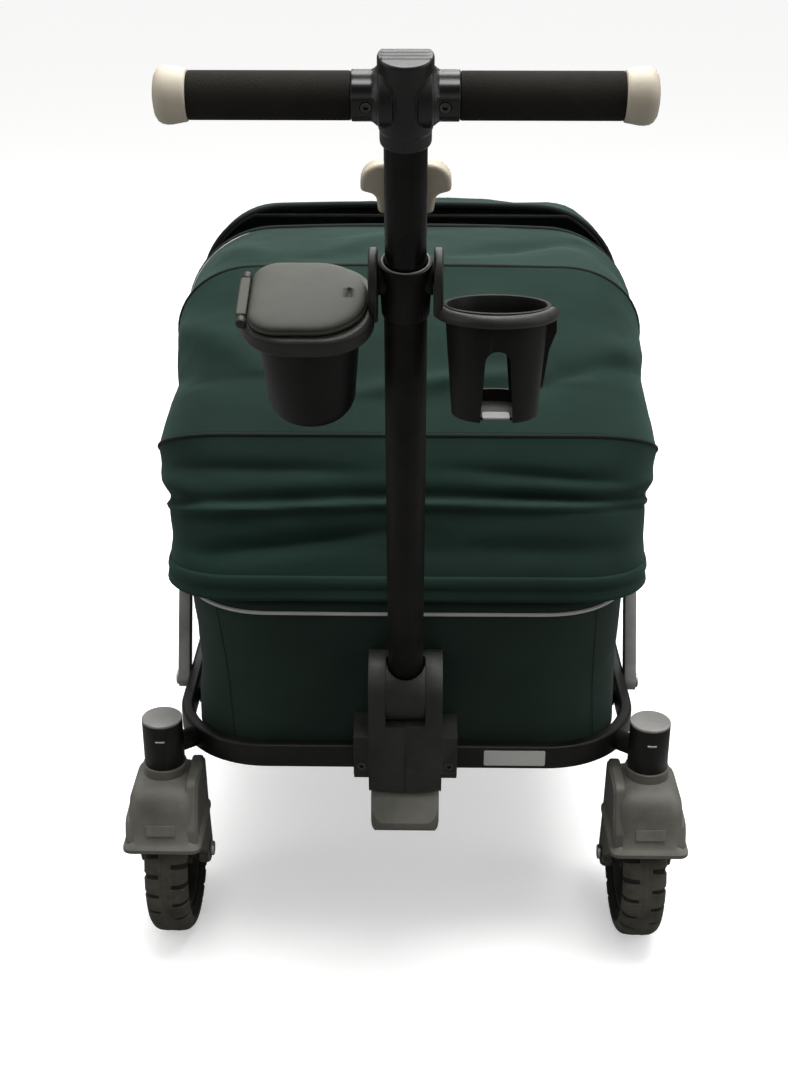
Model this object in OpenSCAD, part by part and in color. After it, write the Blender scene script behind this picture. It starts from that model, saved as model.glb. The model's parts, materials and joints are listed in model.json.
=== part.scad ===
// Kids pull wagon: a ring-shaped base on two swivel casters and two fixed wheels,
// a folding upper rail with a fabric basket, two fan-shaped hoods, and a leaning
// telescopic pull handle that carries a snack box and a cup holder.
// +X is the wagon's right, -Y is the handle end, +Z is up. Millimetres.

/* [Wheels] */
// Outer diameter of every wheel
wheel_d = 200; // [160:1:240]
// Width of a tyre
tyre_w = 50; // [36:1:60]
// Rubber between the rim and the tread
tyre_depth = 28; // [18:1:34]
// Diameter of the wheel bolts
axle_d = 10; // [8:1:14]
// How far a front wheel's axle trails its swivel axis
trail = 38; // [20:1:46]
// Gap between a tyre and the fork around it
tyre_gap = 4; // [2:0.5:8]
// Thickness of a fork leg
leg_t = 13; // [8:1:18]

/* [Base ring] */
// Outer length of the ring
ring_l = 826; // [688:1:992]
// Outer width of the ring
ring_w = 550; // [458:1:660]
// Outer radius of the ring's corners
ring_r = 112; // [90:1:140]
// Height of the ring's tube
ring_h = 30; // [24:1:38]
// Thickness of the ring's tube
ring_t = 15; // [12:1:20]
// Wall of the steel tubes
tube_wall = 1.6; // [1:0.1:3]
// Outer diameter of a corner post
post_d = 47; // [40:1:56]
// Height of a corner post
post_h = 56; // [44:1:70]

/* [Upper frame] */
// Height of the upper rail's centre above the ring's underside
rail_rise = 207; // [172:1:248]
// Diameter of the upper rail's tube
rail_d = 22; // [18:1:28]
// How far the upper rail's centre lies inside the ring's outer face
rail_inset = 32; // [28:1:40]
// Lean of the folding struts, away from the handle
strut_lean = 25; // [15:1:35]
// Width of a strut
strut_w = 24; // [18:1:30]
// Thickness of a strut
strut_t = 14; // [8:1:18]

/* [Basket] */
// Clear space between the basket and the ring's inner face
basket_gap = 13; // [8:1:20]
// Thickness of the basket's padded wall
basket_wall = 5; // [3:1:10]
// Thickness of the floor board
board_t = 8; // [5:1:12]
// Thickness of the floor pad
pad_t = 20; // [12:1:30]

/* [Hoods] */
// Reach of a hood's cloth from its pivot
hood_reach = 335; // [290:1:390]
// Height of the hood pivots above the upper rail's centre
hood_rise = 8; // [6:1:12]
// Distance of each hood's pivot from mid-length
hood_pivot_y = 65; // [50:1:90]
// Radius of a hood's shoulders
hood_corner = 70; // [50:1:100]
// Thickness of the hood cloth
cloth_t = 2.4; // [1.5:0.1:4]
// Angle of the first bow above level
bow_1_a = 31.5; // [26:0.5:36]
// Angle of the second bow above level
bow_2_a = 71; // [60:0.5:78]
// Angle of the leading bow above level
bow_3_a = 90; // [84:0.5:95]

/* [Handle] */
// Lean of the pole towards the person who pulls
pole_lean = 20; // [12:1:30]
// Distance from the hinge to the grip's centre line
pole_len = 716; // [597:1:859]
// Outer diameter of the lower pole
pole_d = 38.6; // [34:0.1:42]
// Outer diameter of the sliding upper pole
slide_d = 36; // [30:0.1:39]
// Length of the lower pole above the hinge
lower_len = 552; // [470:1:590]
// Overall length of the cross grip
grip_l = 398; // [332:1:478]
// Diameter of the foam
foam_d = 38; // [32:1:44]
// Diameter of the cross tube inside the foam
cross_d = 28; // [22:1:30]
// Radius of the base hinge's discs
hinge_r = 40; // [36:1:46]
// Width of the turning knuckle
knuckle_w = 43.4; // [40:0.1:48]
// Width across both hinge discs
hinge_w = 82; // [76:1:94]

/* [Snack box and cup holder] */
// Width of the snack box's ring
snack_w = 119; // [106:1:130]
// Top diameter of the snack bucket
bucket_d = 94; // [84:1:98]
// Depth of the snack bucket
bucket_h = 118; // [98:1:142]
// Outer diameter of the cup holder's rim
cup_rim_d = 110; // [100:1:124]
// Top diameter of the cup holder's body
cup_d = 90; // [80:1:96]
// Height of the cup holder
cup_h = 99; // [84:1:118]
// Tilt of the cup holder against the pole
cup_tilt = 25; // [10:1:30]

/* [Hidden] */
$fn = 48;
// fits and clearances
fit = 0.05;             // radial clearance of a running fit
gap = 0.3;              // clearance between faces that pass each other
seat = 0.3;             // how close a part sits to what carries it

// wheels and forks
wheel_r = wheel_d / 2;
rim_r = wheel_r - tyre_depth;
rim_w = tyre_w - 14;
leg_in = tyre_w / 2 + 3;
leg_out = leg_in + leg_t;
arch_r = wheel_r + tyre_gap;
fork_rise = 52;
fork_top = wheel_d + fork_rise;
axle_head_d = 18;
axle_head_t = 5;
stem_d = 16;
boss_r = 17;

// ring and posts
ring_z = fork_top + 3;
ring_top = ring_z + ring_h;
post_out = 9;
post_back = 18;
post_x = ring_w / 2 + post_out;
post_y = ring_l / 2 - post_back;
post_z = fork_top + gap;
cap_t = 4;
post_top = post_z + post_h;
stub_d = 20;
bar_h = 6;

// handle, in the ring's coordinates first
hinge_ahead = 17;
grip_front = 29.8;
y_front = -(ring_l / 2 + hinge_ahead + pole_len * sin(pole_lean) + grip_front);
y_back = post_y + wheel_r;
ring_y = -(y_front + y_back) / 2;
y_ring_front = ring_y - ring_l / 2;
hinge_y = y_ring_front - hinge_ahead;
hinge_z = ring_z + 122;
hinge_pin_d = 12;

// upper frame
rail_z = ring_z + rail_rise;
rail_w = ring_w - 2 * rail_inset;
rail_l = ring_l - 2 * 13;
rail_r = ring_r - 20;
strut_base_z = ring_z + ring_h / 2;
strut_top_z = rail_z - 22;
strut_len = (strut_top_z - strut_base_z) / cos(strut_lean);
strut_x = ring_w / 2 + 1 + strut_t / 2;
strut_base_y = [ring_y - 227, ring_y + 183];
strut_top_y = [for (y = strut_base_y) y + strut_len * sin(strut_lean)];
strut_pin_d = 10;

// basket
basket_w = ring_w - 2 * (ring_t + basket_gap + 4);
basket_l = ring_l - 2 * (ring_t + basket_gap);
basket_r = 78;
basket_z = ring_z + bar_h + seat;
basket_top = rail_z - rail_d / 2 - seat;
basket_floor = 3;
board_z = basket_z + basket_floor + seat;
pad_z = board_z + board_t + seat;

// hoods
hood_w = rail_w / 2 + rail_d / 2 + 21;
hood_z = rail_z + hood_rise;
bow_t = 3.5;
bow_h = 14;
bow_out = hood_reach - cloth_t - 0.7;
bow_corner = hood_corner - cloth_t - 0.4;
bow_pin_d = 10;
bow_eye_d = 26;
hem_reach = hood_reach + 8;
cloth_in = 24;
bow_angles = [bow_1_a, bow_2_a, bow_3_a];
// outer faces of the three bows' legs, one layer outside the other
bow_x = [for (i = [0:2]) hood_w - cloth_t - 0.35 - (2 - i) * (bow_t + gap)];

// handle parts, measured along the pole from the hinge
collar_top = lower_len + 10;
collar_len = 52;
collar_d = 46;
ear_w = 8;
ear_in = collar_d / 2 + 1.3;
ear_at = collar_top - 17;
hub_r = 23;
hub_bottom = pole_len - 40;
hub_top = pole_len + 24;
socket_x = 43;
cap_l = 27;
foam_end = grip_l / 2 - cap_l;
trigger_at = pole_len - 88;
trigger_y = slide_d / 2 + 2;
trigger_stroke = 5;
slide_bottom = lower_len - 250;

// snack box, measured from the pole's axis and along it
snack_x = -(ear_in + snack_w / 2 + 3);
snack_ring_h = 18;
snack_ring_at = ear_at - 44;
lid_w = 104;
lid_d = 104;
lid_t = 8;
lid_at = snack_ring_at + snack_ring_h + seat + 1;
lid_hinge_x = snack_x - snack_w / 2 + 4;
// cup holder
cup_x = ear_in + cup_rim_d / 2 + 0.5;
cup_rim_h = 12;
cup_wall = 3;
cup_drop = 22;

// rear brake
brake_y = ring_y + post_y + 75;
brake_z = wheel_d;
brake_rod_d = 10;
shoe_d = 17;
shoe_arm = 16;

// ---- helpers ----

module rounded_rect(w, h, r) {
  square([w - 2 * r, h], center = true);
  square([w, h - 2 * r], center = true);
  for (x = [-1, 1], y = [-1, 1])
    translate([x * (w / 2 - r), y * (h / 2 - r)]) circle(r);
}

module tube_section(w, h, r, wall) {
  difference() {
    rounded_rect(w, h, r);
    rounded_rect(w - 2 * wall, h - 2 * wall, r - wall);
  }
}

module round_section(d, wall) {
  difference() {
    circle(d = d);
    circle(d = d - 2 * wall);
  }
}

// a closed rail whose centre line is a rounded rectangle; the child is its section
module closed_rail(w, l, r) {
  for (i = [0:3]) {
    sx = (i == 0 || i == 3) ? 1 : -1;
    sy = i < 2 ? 1 : -1;
    translate([sx * (w / 2 - r), sy * (l / 2 - r), 0])
      rotate([0, 0, 90 * i]) rotate_extrude(angle = 90) translate([r, 0]) children();
  }
  for (s = [-1, 1]) {
    translate([s * w / 2, 0, 0])
      rotate([90, 0, 0]) linear_extrude(l - 2 * r, center = true) children();
    translate([0, s * l / 2, 0])
      rotate([90, 0, 90]) linear_extrude(w - 2 * r, center = true) children();
  }
}

module rod_x(d, x0, x1) {
  translate([x0, 0, 0]) rotate([0, 90, 0]) cylinder(d = d, h = x1 - x0);
}

module slab(x0, x1, y0, y1, z0, z1) {
  translate([x0, y0, z0]) cube([x1 - x0, y1 - y0, z1 - z0]);
}

// an outline drawn as [y, z], given a thickness along X
module side_plate(x0, x1) {
  translate([x0, 0, 0]) rotate([90, 0, 90]) linear_extrude(x1 - x0) children();
}

module pole_frame() {
  translate([0, hinge_y, hinge_z]) rotate([pole_lean, 0, 0]) children();
}

// ---- wheels ----

module wheel_place(sx, front) {
  y = front ? -post_y + trail : post_y;
  translate([sx * post_x, ring_y + y, wheel_r]) children();
}

module rim() {
  spoke_n = 6;
  hub_d = 40;
  lip = 6;
  rotate([0, 90, 0]) difference() {
    union() {
      rotate_extrude() difference() {
        translate([0, -rim_w / 2]) square([rim_r, rim_w]);
        for (s = [-1, 1])
          translate([hub_d / 2, s > 0 ? 4 : -rim_w / 2 - 1])
            square([rim_r - lip - hub_d / 2, rim_w / 2 - 3]);
      }
      cylinder(d = hub_d - 12, h = 2 * leg_in - 2 * gap, center = true);
    }
    cylinder(d = axle_d + 2 * fit, h = 100, center = true);
    for (i = [0:spoke_n - 1]) rotate([0, 0, i * 360 / spoke_n])
      translate([(hub_d / 2 + rim_r - lip) / 2, 0, 0]) cylinder(d = 26, h = 100, center = true);
  }
}

module tyre() {
  shoulder = 13;
  rotate([0, 90, 0]) rotate_extrude() difference() {
    union() {
      translate([rim_r, -tyre_w / 2 + 3]) square([wheel_r - rim_r - shoulder, tyre_w - 6]);
      translate([rim_r + 4, -tyre_w / 2 + shoulder])
        square([wheel_r - rim_r - 4, tyre_w - 2 * shoulder]);
      for (s = [-1, 1])
        translate([wheel_r - shoulder, s * (tyre_w / 2 - shoulder)]) circle(shoulder);
    }
    translate([rim_r - 40, -tyre_w]) square([40, 2 * tyre_w]);
  }
}

module axle() {
  end = leg_out + gap;
  rod_x(axle_d, -end, end);
  for (s = [-1, 1]) {
    x = s * (end + axle_head_t / 2);
    rod_x(axle_head_d, x - axle_head_t / 2, x + axle_head_t / 2);
  }
}

// a fork whose stem axis is the local Z axis; the axle lies back_off behind it
module fork(back_off, with_stem) {
  crown_low = wheel_r + 84;
  lip_w = leg_out + 5;
  difference() {
    union() {
      for (s = [-1, 1]) side_plate(s > 0 ? leg_in : -leg_out, s > 0 ? leg_out : -leg_in) {
        polygon([[-34, fork_top - 14], [-52, crown_low + 14], [-62, crown_low - 6],
          [back_off - 17, wheel_r], [back_off + 17, wheel_r], [44, crown_low - 10],
          [40, crown_low + 18], [30, fork_top - 14]]);
        translate([back_off, wheel_r]) circle(boss_r);
      }
      side_plate(-leg_out, leg_out)
        polygon([[-30, fork_top - 8], [-52, crown_low + 14], [-62, crown_low - 6],
          [-62, crown_low - 12], [44, crown_low - 12], [42, crown_low + 18], [28, fork_top - 8]]);
      side_plate(-lip_w, lip_w)
        polygon([[-60, crown_low - 2], [-68, crown_low - 14], [-62, crown_low - 20],
          [-44, crown_low - 6]]);
      cylinder(d = post_d + 4, h = fork_top - 1);
      cylinder(d = post_d - 3, h = fork_top);
    }
    // room for the wheel
    translate([0, back_off, wheel_r]) rod_x(2 * arch_r, -leg_in, leg_in);
    slab(-leg_in, leg_in, -90, 90, -1, wheel_r);
    translate([0, back_off, wheel_r]) rod_x(axle_d + 2 * fit, -80, 80);
  }
  if (with_stem) translate([0, 0, fork_top - 1]) cylinder(d = stem_d, h = post_h - 6);
}

module fork_place(sx, front) {
  translate([sx * post_x, ring_y + (front ? -post_y : post_y), 0]) children();
}

// ---- base ----

module ring_frame() color("#1c1c1a") {
  translate([0, ring_y, ring_z + ring_h / 2])
    closed_rail(ring_w - ring_t, ring_l - ring_t, ring_r - ring_t / 2)
      tube_section(ring_t, ring_h, 4, tube_wall);
  // flat bars that carry the basket
  for (y = [-250, 0, 250])
    slab(-ring_w / 2 + ring_t, ring_w / 2 - ring_t, ring_y + y - 15, ring_y + y + 15,
      ring_z, ring_z + bar_h);
}

module corner_posts() color("#1f1e1b") {
  corner = [ring_w / 2 - ring_r, ring_l / 2 - ring_r];
  run = [post_x - corner[0], post_y - corner[1]];
  reach = norm(run);
  turn = atan2(run[1], run[0]);
  z = ring_z + ring_h / 2;
  for (sx = [-1, 1], sy = [-1, 1])
    translate([sx * post_x, ring_y + sy * post_y, 0]) difference() {
      union() {
        translate([0, 0, post_z]) cylinder(d = post_d, h = post_h);
        mirror([sx > 0 ? 0 : 1, 0, 0]) mirror([0, sy > 0 ? 0 : 1, 0]) rotate([0, 0, turn + 180]) {
          translate([0, 0, z + 3]) rod_x(stub_d, 0, reach - ring_r);
          slab(0, reach - ring_r, -3, 3, z - 12, z);
        }
      }
      translate([0, 0, post_z - 1]) cylinder(d = post_d - 5, h = post_h + 2);
    }
}

module post_caps() color("#3c3b39") {
  for (sx = [-1, 1], sy = [-1, 1])
    translate([sx * post_x, ring_y + sy * post_y, post_top]) {
      cylinder(d = post_d, h = cap_t - 1);
      translate([0, 0, cap_t - 1]) cylinder(d1 = post_d, d2 = post_d - 3, h = 1);
      translate([0, 0, -4]) cylinder(d = post_d - 5.1, h = 4);
    }
}

module swivel_bearings() color("silver") {
  for (sx = [-1, 1], z = [post_z + 2, post_top - 20])
    translate([sx * post_x, ring_y - post_y, z]) difference() {
      cylinder(d = post_d - 5.04, h = 12);
      translate([0, 0, -1]) cylinder(d = stem_d + 2 * fit, h = 14);
    }
}

module rear_forks() color("#65635c") {
  for (sx = [-1, 1]) {
    fork_place(sx, false) fork(0, false);
    // ears that carry the brake rod
    translate([sx * post_x, 0, 0]) {
      inner = -sx;
      x0 = inner > 0 ? leg_in : -leg_out;
      difference() {
        side_plate(x0, x0 + leg_t) {
          polygon([[ring_y + post_y + 20, brake_z - 40], [brake_y, brake_z - 10],
            [brake_y, brake_z + 10], [ring_y + post_y + 20, brake_z + 20]]);
          translate([brake_y, brake_z]) circle(10);
        }
        translate([0, brake_y, brake_z]) rod_x(brake_rod_d + 2 * fit, -80, 80);
      }
    }
  }
}

module rear_axles() color("silver")
  for (sx = [-1, 1]) wheel_place(sx, false) axle();

module floor_board() color("#2a2a28")
  translate([0, ring_y, board_z]) linear_extrude(board_t)
    rounded_rect(basket_w - 2 * basket_wall - 2, basket_l - 2 * basket_wall - 2, basket_r - 8);

module floor_pad() color("#2f3f3a")
  translate([0, ring_y, pad_z]) linear_extrude(pad_t)
    rounded_rect(basket_w - 2 * basket_wall - 6, basket_l - 2 * basket_wall - 6, basket_r - 10);

module basket() color("#17241f")
  translate([0, ring_y, basket_z]) difference() {
    linear_extrude(basket_top - basket_z) rounded_rect(basket_w, basket_l, basket_r);
    translate([0, 0, basket_floor]) linear_extrude(basket_top)
      rounded_rect(basket_w - 2 * basket_wall, basket_l - 2 * basket_wall,
        basket_r - basket_wall);
  }

module strut_pins() color("silver")
  for (s = [-1, 1], y = strut_base_y)
    translate([s * strut_x, y, strut_base_z]) {
      half = strut_t / 2;
      rod_x(strut_pin_d, -half - (s > 0 ? 1 : gap), half + (s > 0 ? gap : 1));
      rod_x(strut_pin_d + 8, s > 0 ? half + gap : -half - gap - 3, s > 0 ? half + gap + 3 : -half - gap);
    }

// ---- folding struts and upper rail ----

module strut_pair(i) {
  for (s = [-1, 1])
    translate([s * strut_x, strut_base_y[i], strut_base_z]) rotate([-strut_lean, 0, 0])
      difference() {
        side_plate(-strut_t / 2, strut_t / 2) {
          translate([-strut_w / 2, 0]) square([strut_w, strut_len]);
          for (z = [0, strut_len]) translate([0, z]) circle(strut_w / 2);
        }
        for (z = [0, strut_len])
          translate([0, 0, z]) rod_x(strut_pin_d + 2 * (z > 0 ? gap : fit), -20, 20);
      }
}

module front_struts() color("#8f908d") strut_pair(0);

module rear_struts() color("#8f908d") strut_pair(1);

module top_rail() color("#1c1c1a") {
  translate([0, ring_y, rail_z])
    closed_rail(rail_w, rail_l, rail_r) round_section(rail_d, tube_wall);
  // lugs with studs for the struts
  lug_in = rail_w / 2 + rail_d / 2 - 4;
  lug_out = strut_x - strut_t / 2 - gap;
  for (s = [-1, 1], y = strut_top_y)
    translate([0, y, 0]) mirror([s > 0 ? 0 : 1, 0, 0]) {
      difference() {
        slab(lug_in - 10, lug_out, -12, 12, strut_top_z - 12, rail_z);
        rotate([90, 0, 0]) translate([rail_w / 2, rail_z, 0]) cylinder(d = rail_d - 1, h = 60, center = true);
        slab(lug_in - 12, rail_w / 2 + rail_d / 2 + 0.5, -13, 13, strut_top_z - 13,
          rail_z - rail_d / 2);
      }
      translate([0, 0, strut_top_z]) {
        rod_x(strut_pin_d, lug_out - 2, strut_x + strut_t / 2 + gap);
        rod_x(strut_pin_d + 8, strut_x + strut_t / 2 + gap, strut_x + strut_t / 2 + gap + 3);
      }
    }
}

module hood_pivots() color("#2b2b29")
  for (s = [-1, 1], side = [-1, 1])
    translate([0, ring_y + side * hood_pivot_y, hood_z]) mirror([s > 0 ? 0 : 1, 0, 0]) {
      block_in = rail_w / 2 + rail_d / 2 + 0.1;
      block_out = bow_x[0] - bow_t - gap;
      slab(block_in, block_out, -17, 17, -17, 13);
      rod_x(bow_pin_d, block_out, bow_x[2] + gap);
      rod_x(34, bow_x[2] + gap, bow_x[2] + gap + 7);
    }

// ---- hoods ----

module hood_place(near) {
  translate([0, ring_y, 0]) mirror([0, near ? 0 : 1, 0])
    translate([0, -hood_pivot_y, hood_z]) children();
}

// half-open outline: reach along X, half width along Y, round at the far corners
module hood_outline(reach, half, r) {
  translate([0, -half]) square([reach - r, 2 * half]);
  translate([0, r - half]) square([reach, 2 * (half - r)]);
  for (s = [-1, 1]) translate([reach - r, s * (half - r)]) circle(r);
}

module bow(i) {
  half = bow_x[i];
  rotate([180 - bow_angles[i], 0, 0]) difference() {
    union() {
      rotate([0, 0, 90]) linear_extrude(bow_h, center = true) difference() {
        hood_outline(bow_out, half, bow_corner);
        translate([-1, 0]) hood_outline(bow_out - bow_t + 1, half - bow_t, bow_corner - bow_t);
      }
      for (s = [-1, 1])
        rod_x(bow_eye_d, s > 0 ? half - bow_t : -half, s > 0 ? half : bow_t - half);
    }
    rod_x(bow_pin_d + 2 * fit, -half - 1, half + 1);
  }
}

// cloth swept round the pivot from one bow angle to the next
module cloth_span(a0, a1, reach) {
  trim = 0.25;
  rotate([0, 90, 0]) rotate([0, 0, 270 - a1 + trim]) rotate_extrude(angle = a1 - a0 - 2 * trim)
    difference() {
      hood_outline(reach, hood_w, hood_corner);
      hood_outline(reach - cloth_t, hood_w - cloth_t, hood_corner - cloth_t);
      translate([-1, -hood_w - 1]) square([cloth_in + 1, 2 * hood_w + 2]);
    }
}

module near_bow_1() color("#3a3a38") hood_place(true) bow(0);
module near_bow_2() color("#3a3a38") hood_place(true) bow(1);
module near_bow_3() color("#3a3a38") hood_place(true) bow(2);
module far_bow_1() color("#3a3a38") hood_place(false) bow(0);
module far_bow_2() color("#3a3a38") hood_place(false) bow(1);
module far_bow_3() color("#3a3a38") hood_place(false) bow(2);

module cloth_1(near) hood_place(near) cloth_span(3, bow_1_a, hem_reach);
module cloth_2(near) hood_place(near) cloth_span(bow_1_a, bow_2_a, hood_reach);
module cloth_3(near) hood_place(near) cloth_span(bow_2_a, bow_3_a + 1, hood_reach);

module near_cloth_1() color("#1b3a30") cloth_1(true);
module near_cloth_2() color("#1b3a30") cloth_2(true);
module near_cloth_3() color("#1b3a30") cloth_3(true);
module far_cloth_1() color("#1b3a30") cloth_1(false);
module far_cloth_2() color("#1b3a30") cloth_2(false);
module far_cloth_3() color("#1b3a30") cloth_3(false);

// ---- base hinge ----

module hinge_outline() {
  front = hinge_y - hinge_r + 3;
  back = y_ring_front + ring_t + 5;
  polygon([[front, hinge_z - 34], [front - 5, ring_top + 8], [front + 2, ring_z + 6],
    [front + 14, ring_z - 4], [back, ring_z - 4], [back, hinge_z - 22], [hinge_y + 26, hinge_z - 10]]);
}

pedal_pivot = [hinge_y - 8, ring_z + 22];
pedal_w = 76;

// the half with x < 0
module housing_half() {
  half = hinge_w / 2;
  flange = 18;
  difference() {
    union() {
      side_plate(-half, 0) hinge_outline();
      side_plate(-half, -knuckle_w / 2 - gap) {
        translate([hinge_y, hinge_z]) circle(hinge_r);
        polygon([[hinge_y - hinge_r, hinge_z], [hinge_y - hinge_r + 3, hinge_z - 36],
          [hinge_y + hinge_r - 4, hinge_z - 30], [hinge_y + hinge_r - 3, hinge_z]]);
      }
      side_plate(-half - flange, -half + 2)
        polygon([[y_ring_front - 30, ring_z + 12], [y_ring_front - 30, ring_top + 30],
          [y_ring_front - 4, ring_top + 34], [y_ring_front + ring_t + 5, ring_top + 34],
          [y_ring_front + ring_t + 5, ring_z - 2], [y_ring_front - 16, ring_z - 2]]);
    }
    // the turning knuckle
    translate([0, hinge_y, hinge_z]) rod_x(2 * hinge_r + 1.2, -knuckle_w / 2 - gap, 1);
    // the ring passes through
    slab(-90, 1, y_ring_front - gap, y_ring_front + ring_t + gap, ring_z - gap, ring_top + gap);
    slab(-90, 1, y_ring_front - gap, y_ring_front + ring_t + gap, ring_z - 20, ring_z);
    // the pedal's chamber
    slab(-pedal_w / 2 - 1, 1, hinge_y - hinge_r - 20, y_ring_front - 3, ring_z - 20, ring_z + 36);
    translate([0, hinge_y, hinge_z]) rod_x(hinge_pin_d, -90, 1);
    translate([0, pedal_pivot[0], pedal_pivot[1]]) rod_x(6, -half - 1, 1);
    housing_screw_holes();
  }
}

module housing_screw_place()
  for (s = [-1, 1])
    translate([s * (hinge_w / 2 + 9), y_ring_front - 30, ring_z + 22]) children();

module housing_screw_holes()
  housing_screw_place() {
    rotate([-90, 0, 0]) cylinder(d = 6, h = 29);
    rotate([-90, 0, 0]) cylinder(d = 10, h = 5);
  }

module hinge_housing_left() color("#33322f") difference() {
  housing_half();
  slab(-gap / 4, 1, hinge_y - 90, hinge_y + 90, 0, 600);
}

module hinge_housing_right() color("#33322f") mirror([1, 0, 0]) difference() {
  housing_half();
  slab(-gap / 4, 1, hinge_y - 90, hinge_y + 90, 0, 600);
}

module housing_screws() color("silver")
  housing_screw_place() difference() {
    union() {
      rotate([-90, 0, 0]) cylinder(d = 5.9, h = 28);
      rotate([-90, 0, 0]) cylinder(d = 9.9, h = 5);
    }
    rotate([-90, 0, 0]) translate([0, 0, -1]) cylinder(d = 5, h = 3.5, $fn = 6);
  }

module hinge_pins() color("silver") {
  translate([0, hinge_y, hinge_z])
    rod_x(hinge_pin_d - 2 * fit, -hinge_w / 2 + 0.5, hinge_w / 2 - 0.5);
  translate([0, pedal_pivot[0], pedal_pivot[1]])
    rod_x(6 - 2 * fit, -hinge_w / 2 + 0.5, hinge_w / 2 - 0.5);
}

// a torsion spring's coils, round the pedal pin between the pedal's two ears
module pedal_spring() color("silver")
  translate([0, pedal_pivot[0], pedal_pivot[1]])
    for (i = [0:6]) rotate([0, 90, 0]) translate([0, 0, -6.6 + 2.2 * i])
      rotate_extrude() translate([4.3, 0]) circle(d = 2.2, $fn = 16);

module foot_pedal() color("#55544d")
  translate([0, pedal_pivot[0], pedal_pivot[1]]) {
    nose = [-42, -56];
    difference() {
      union() {
        side_plate(-pedal_w / 2 - 0.4, pedal_w / 2 + 0.4)
          polygon([[-30, -18], [-10, -14], [-10, -25], [-30, -44], nose, [-47, -58], [-52, -52],
            [-52, -45]]);
        for (s = [-1, 1]) side_plate(s > 0 ? 14 : -26, s > 0 ? 26 : -14) {
          circle(7);
          polygon([[-7, 0], [7, 0], [6, -4], [-9, -24], [-22, -24]]);
        }
      }
      rod_x(6, -40, 40);
      // round the tread's two front corners
      for (s = [-1, 1]) translate([s * (pedal_w / 2 - 16), -52, 0]) mirror([s > 0 ? 0 : 1, 0, 0])
        difference() {
          translate([0, -20, -80]) cube([40, 36, 60]);
          translate([0, 16, -81]) cylinder(r = 16.4, h = 62);
        }
    }
  }

// ---- casters and wheels ----

module caster_fork_left() color("#65635c") fork_place(-1, true) fork(trail, true);
module caster_fork_right() color("#65635c") fork_place(1, true) fork(trail, true);
module caster_axle_left() color("silver") wheel_place(-1, true) axle();
module caster_axle_right() color("silver") wheel_place(1, true) axle();
module rim_front_left() color("#4a4a46") wheel_place(-1, true) rim();
module rim_front_right() color("#4a4a46") wheel_place(1, true) rim();
module rim_rear_left() color("#4a4a46") wheel_place(-1, false) rim();
module rim_rear_right() color("#4a4a46") wheel_place(1, false) rim();
module tyre_front_left() color("#33322c") wheel_place(-1, true) tyre();
module tyre_front_right() color("#33322c") wheel_place(1, true) tyre();
module tyre_rear_left() color("#33322c") wheel_place(-1, false) tyre();
module tyre_rear_right() color("#33322c") wheel_place(1, false) tyre();

// ---- handle ----

module tube_z(d, wall, z0, z1) {
  translate([0, 0, z0]) difference() {
    cylinder(d = d, h = z1 - z0);
    translate([0, 0, -1]) cylinder(d = d - 2 * wall, h = z1 - z0 + 2);
  }
}

module lower_pole() color("#24211c")
  pole_frame() tube_z(pole_d, (pole_d - slide_d) / 2 - fit, 9, lower_len);

module handle_knuckle() color("#3b3a37") pole_frame() difference() {
  rod_x(2 * hinge_r, -knuckle_w / 2, knuckle_w / 2);
  rod_x(hinge_pin_d + 0.001, -knuckle_w, knuckle_w);
  translate([0, 0, 8]) cylinder(d = pole_d + 0.04, h = 60);
  translate([0, 0, 21]) cylinder(d = knuckle_w + 1, h = 60);
}

module accessory_collar() color("#3b3a37") pole_frame() {
  base = collar_top - collar_len;
  difference() {
    union() {
      translate([0, 0, base]) cylinder(d1 = pole_d + 4, d2 = collar_d, h = collar_len - 12);
      translate([0, 0, collar_top - 12]) cylinder(d = collar_d, h = 12);
      translate([0, 0, ear_at]) rod_x(30, -ear_in + gap, ear_in - gap);
    }
    translate([0, 0, base - 1]) cylinder(d = pole_d + 0.04, h = collar_len + 2);
  }
  // the bush that guides the sliding tube, recessed inside the rim
  translate([0, 0, lower_len + 0.2]) difference() {
    cylinder(d = pole_d + 0.04, h = 5);
    translate([0, 0, -1]) cylinder(d = slide_d + 2 * fit, h = 7);
  }
  // studs that the snack box and the cup holder turn on
  for (s = [-1, 1]) translate([0, 0, ear_at])
    rod_x(12, s > 0 ? ear_in - 3 : -ear_in - ear_w, s > 0 ? ear_in + ear_w : -ear_in + 3);
}

module upper_pole() color("#121210") pole_frame() difference() {
  tube_z(slide_d, 1.8, slide_bottom, hub_top - 6);
  // slot for the trigger's tongue
  slab(-5, 5, 0, 40, trigger_at - 14, trigger_at + 26 + trigger_stroke);
}

module handle_hub() color("#1f1f1e") pole_frame() {
  difference() {
    union() {
      translate([0, 0, hub_bottom]) cylinder(r = hub_r, h = hub_top - hub_bottom);
      translate([0, 0, pole_len]) rod_x(2 * hub_r - 5, -socket_x + 14, socket_x - 14);
      translate([0, 0, pole_len]) rod_x(foam_d + 2, -socket_x, socket_x);
    }
    translate([0, 0, hub_bottom - 1]) cylinder(d = slide_d + 2 * fit, h = hub_top - hub_bottom - 4);
    translate([0, 0, pole_len]) rod_x(cross_d + 2 * fit, -socket_x - 1, -slide_d / 2 + 1);
    translate([0, 0, pole_len]) rod_x(cross_d + 2 * fit, slide_d / 2 - 1, socket_x + 1);
    // slanted top
    translate([-30, -30, hub_top - 4]) rotate([38, 0, 0]) translate([0, -40, 0]) cube([60, 60, 40]);
    hub_screw_place() cylinder(d = 6, h = 30, center = true);
    hub_screw_place() cylinder(d = 9, h = 8, center = true);
  }
}

module hub_screw_place()
  for (s = [-1, 1]) translate([s * 31, -foam_d / 2 - 1, pole_len]) rotate([-90, 0, 0]) children();

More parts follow.
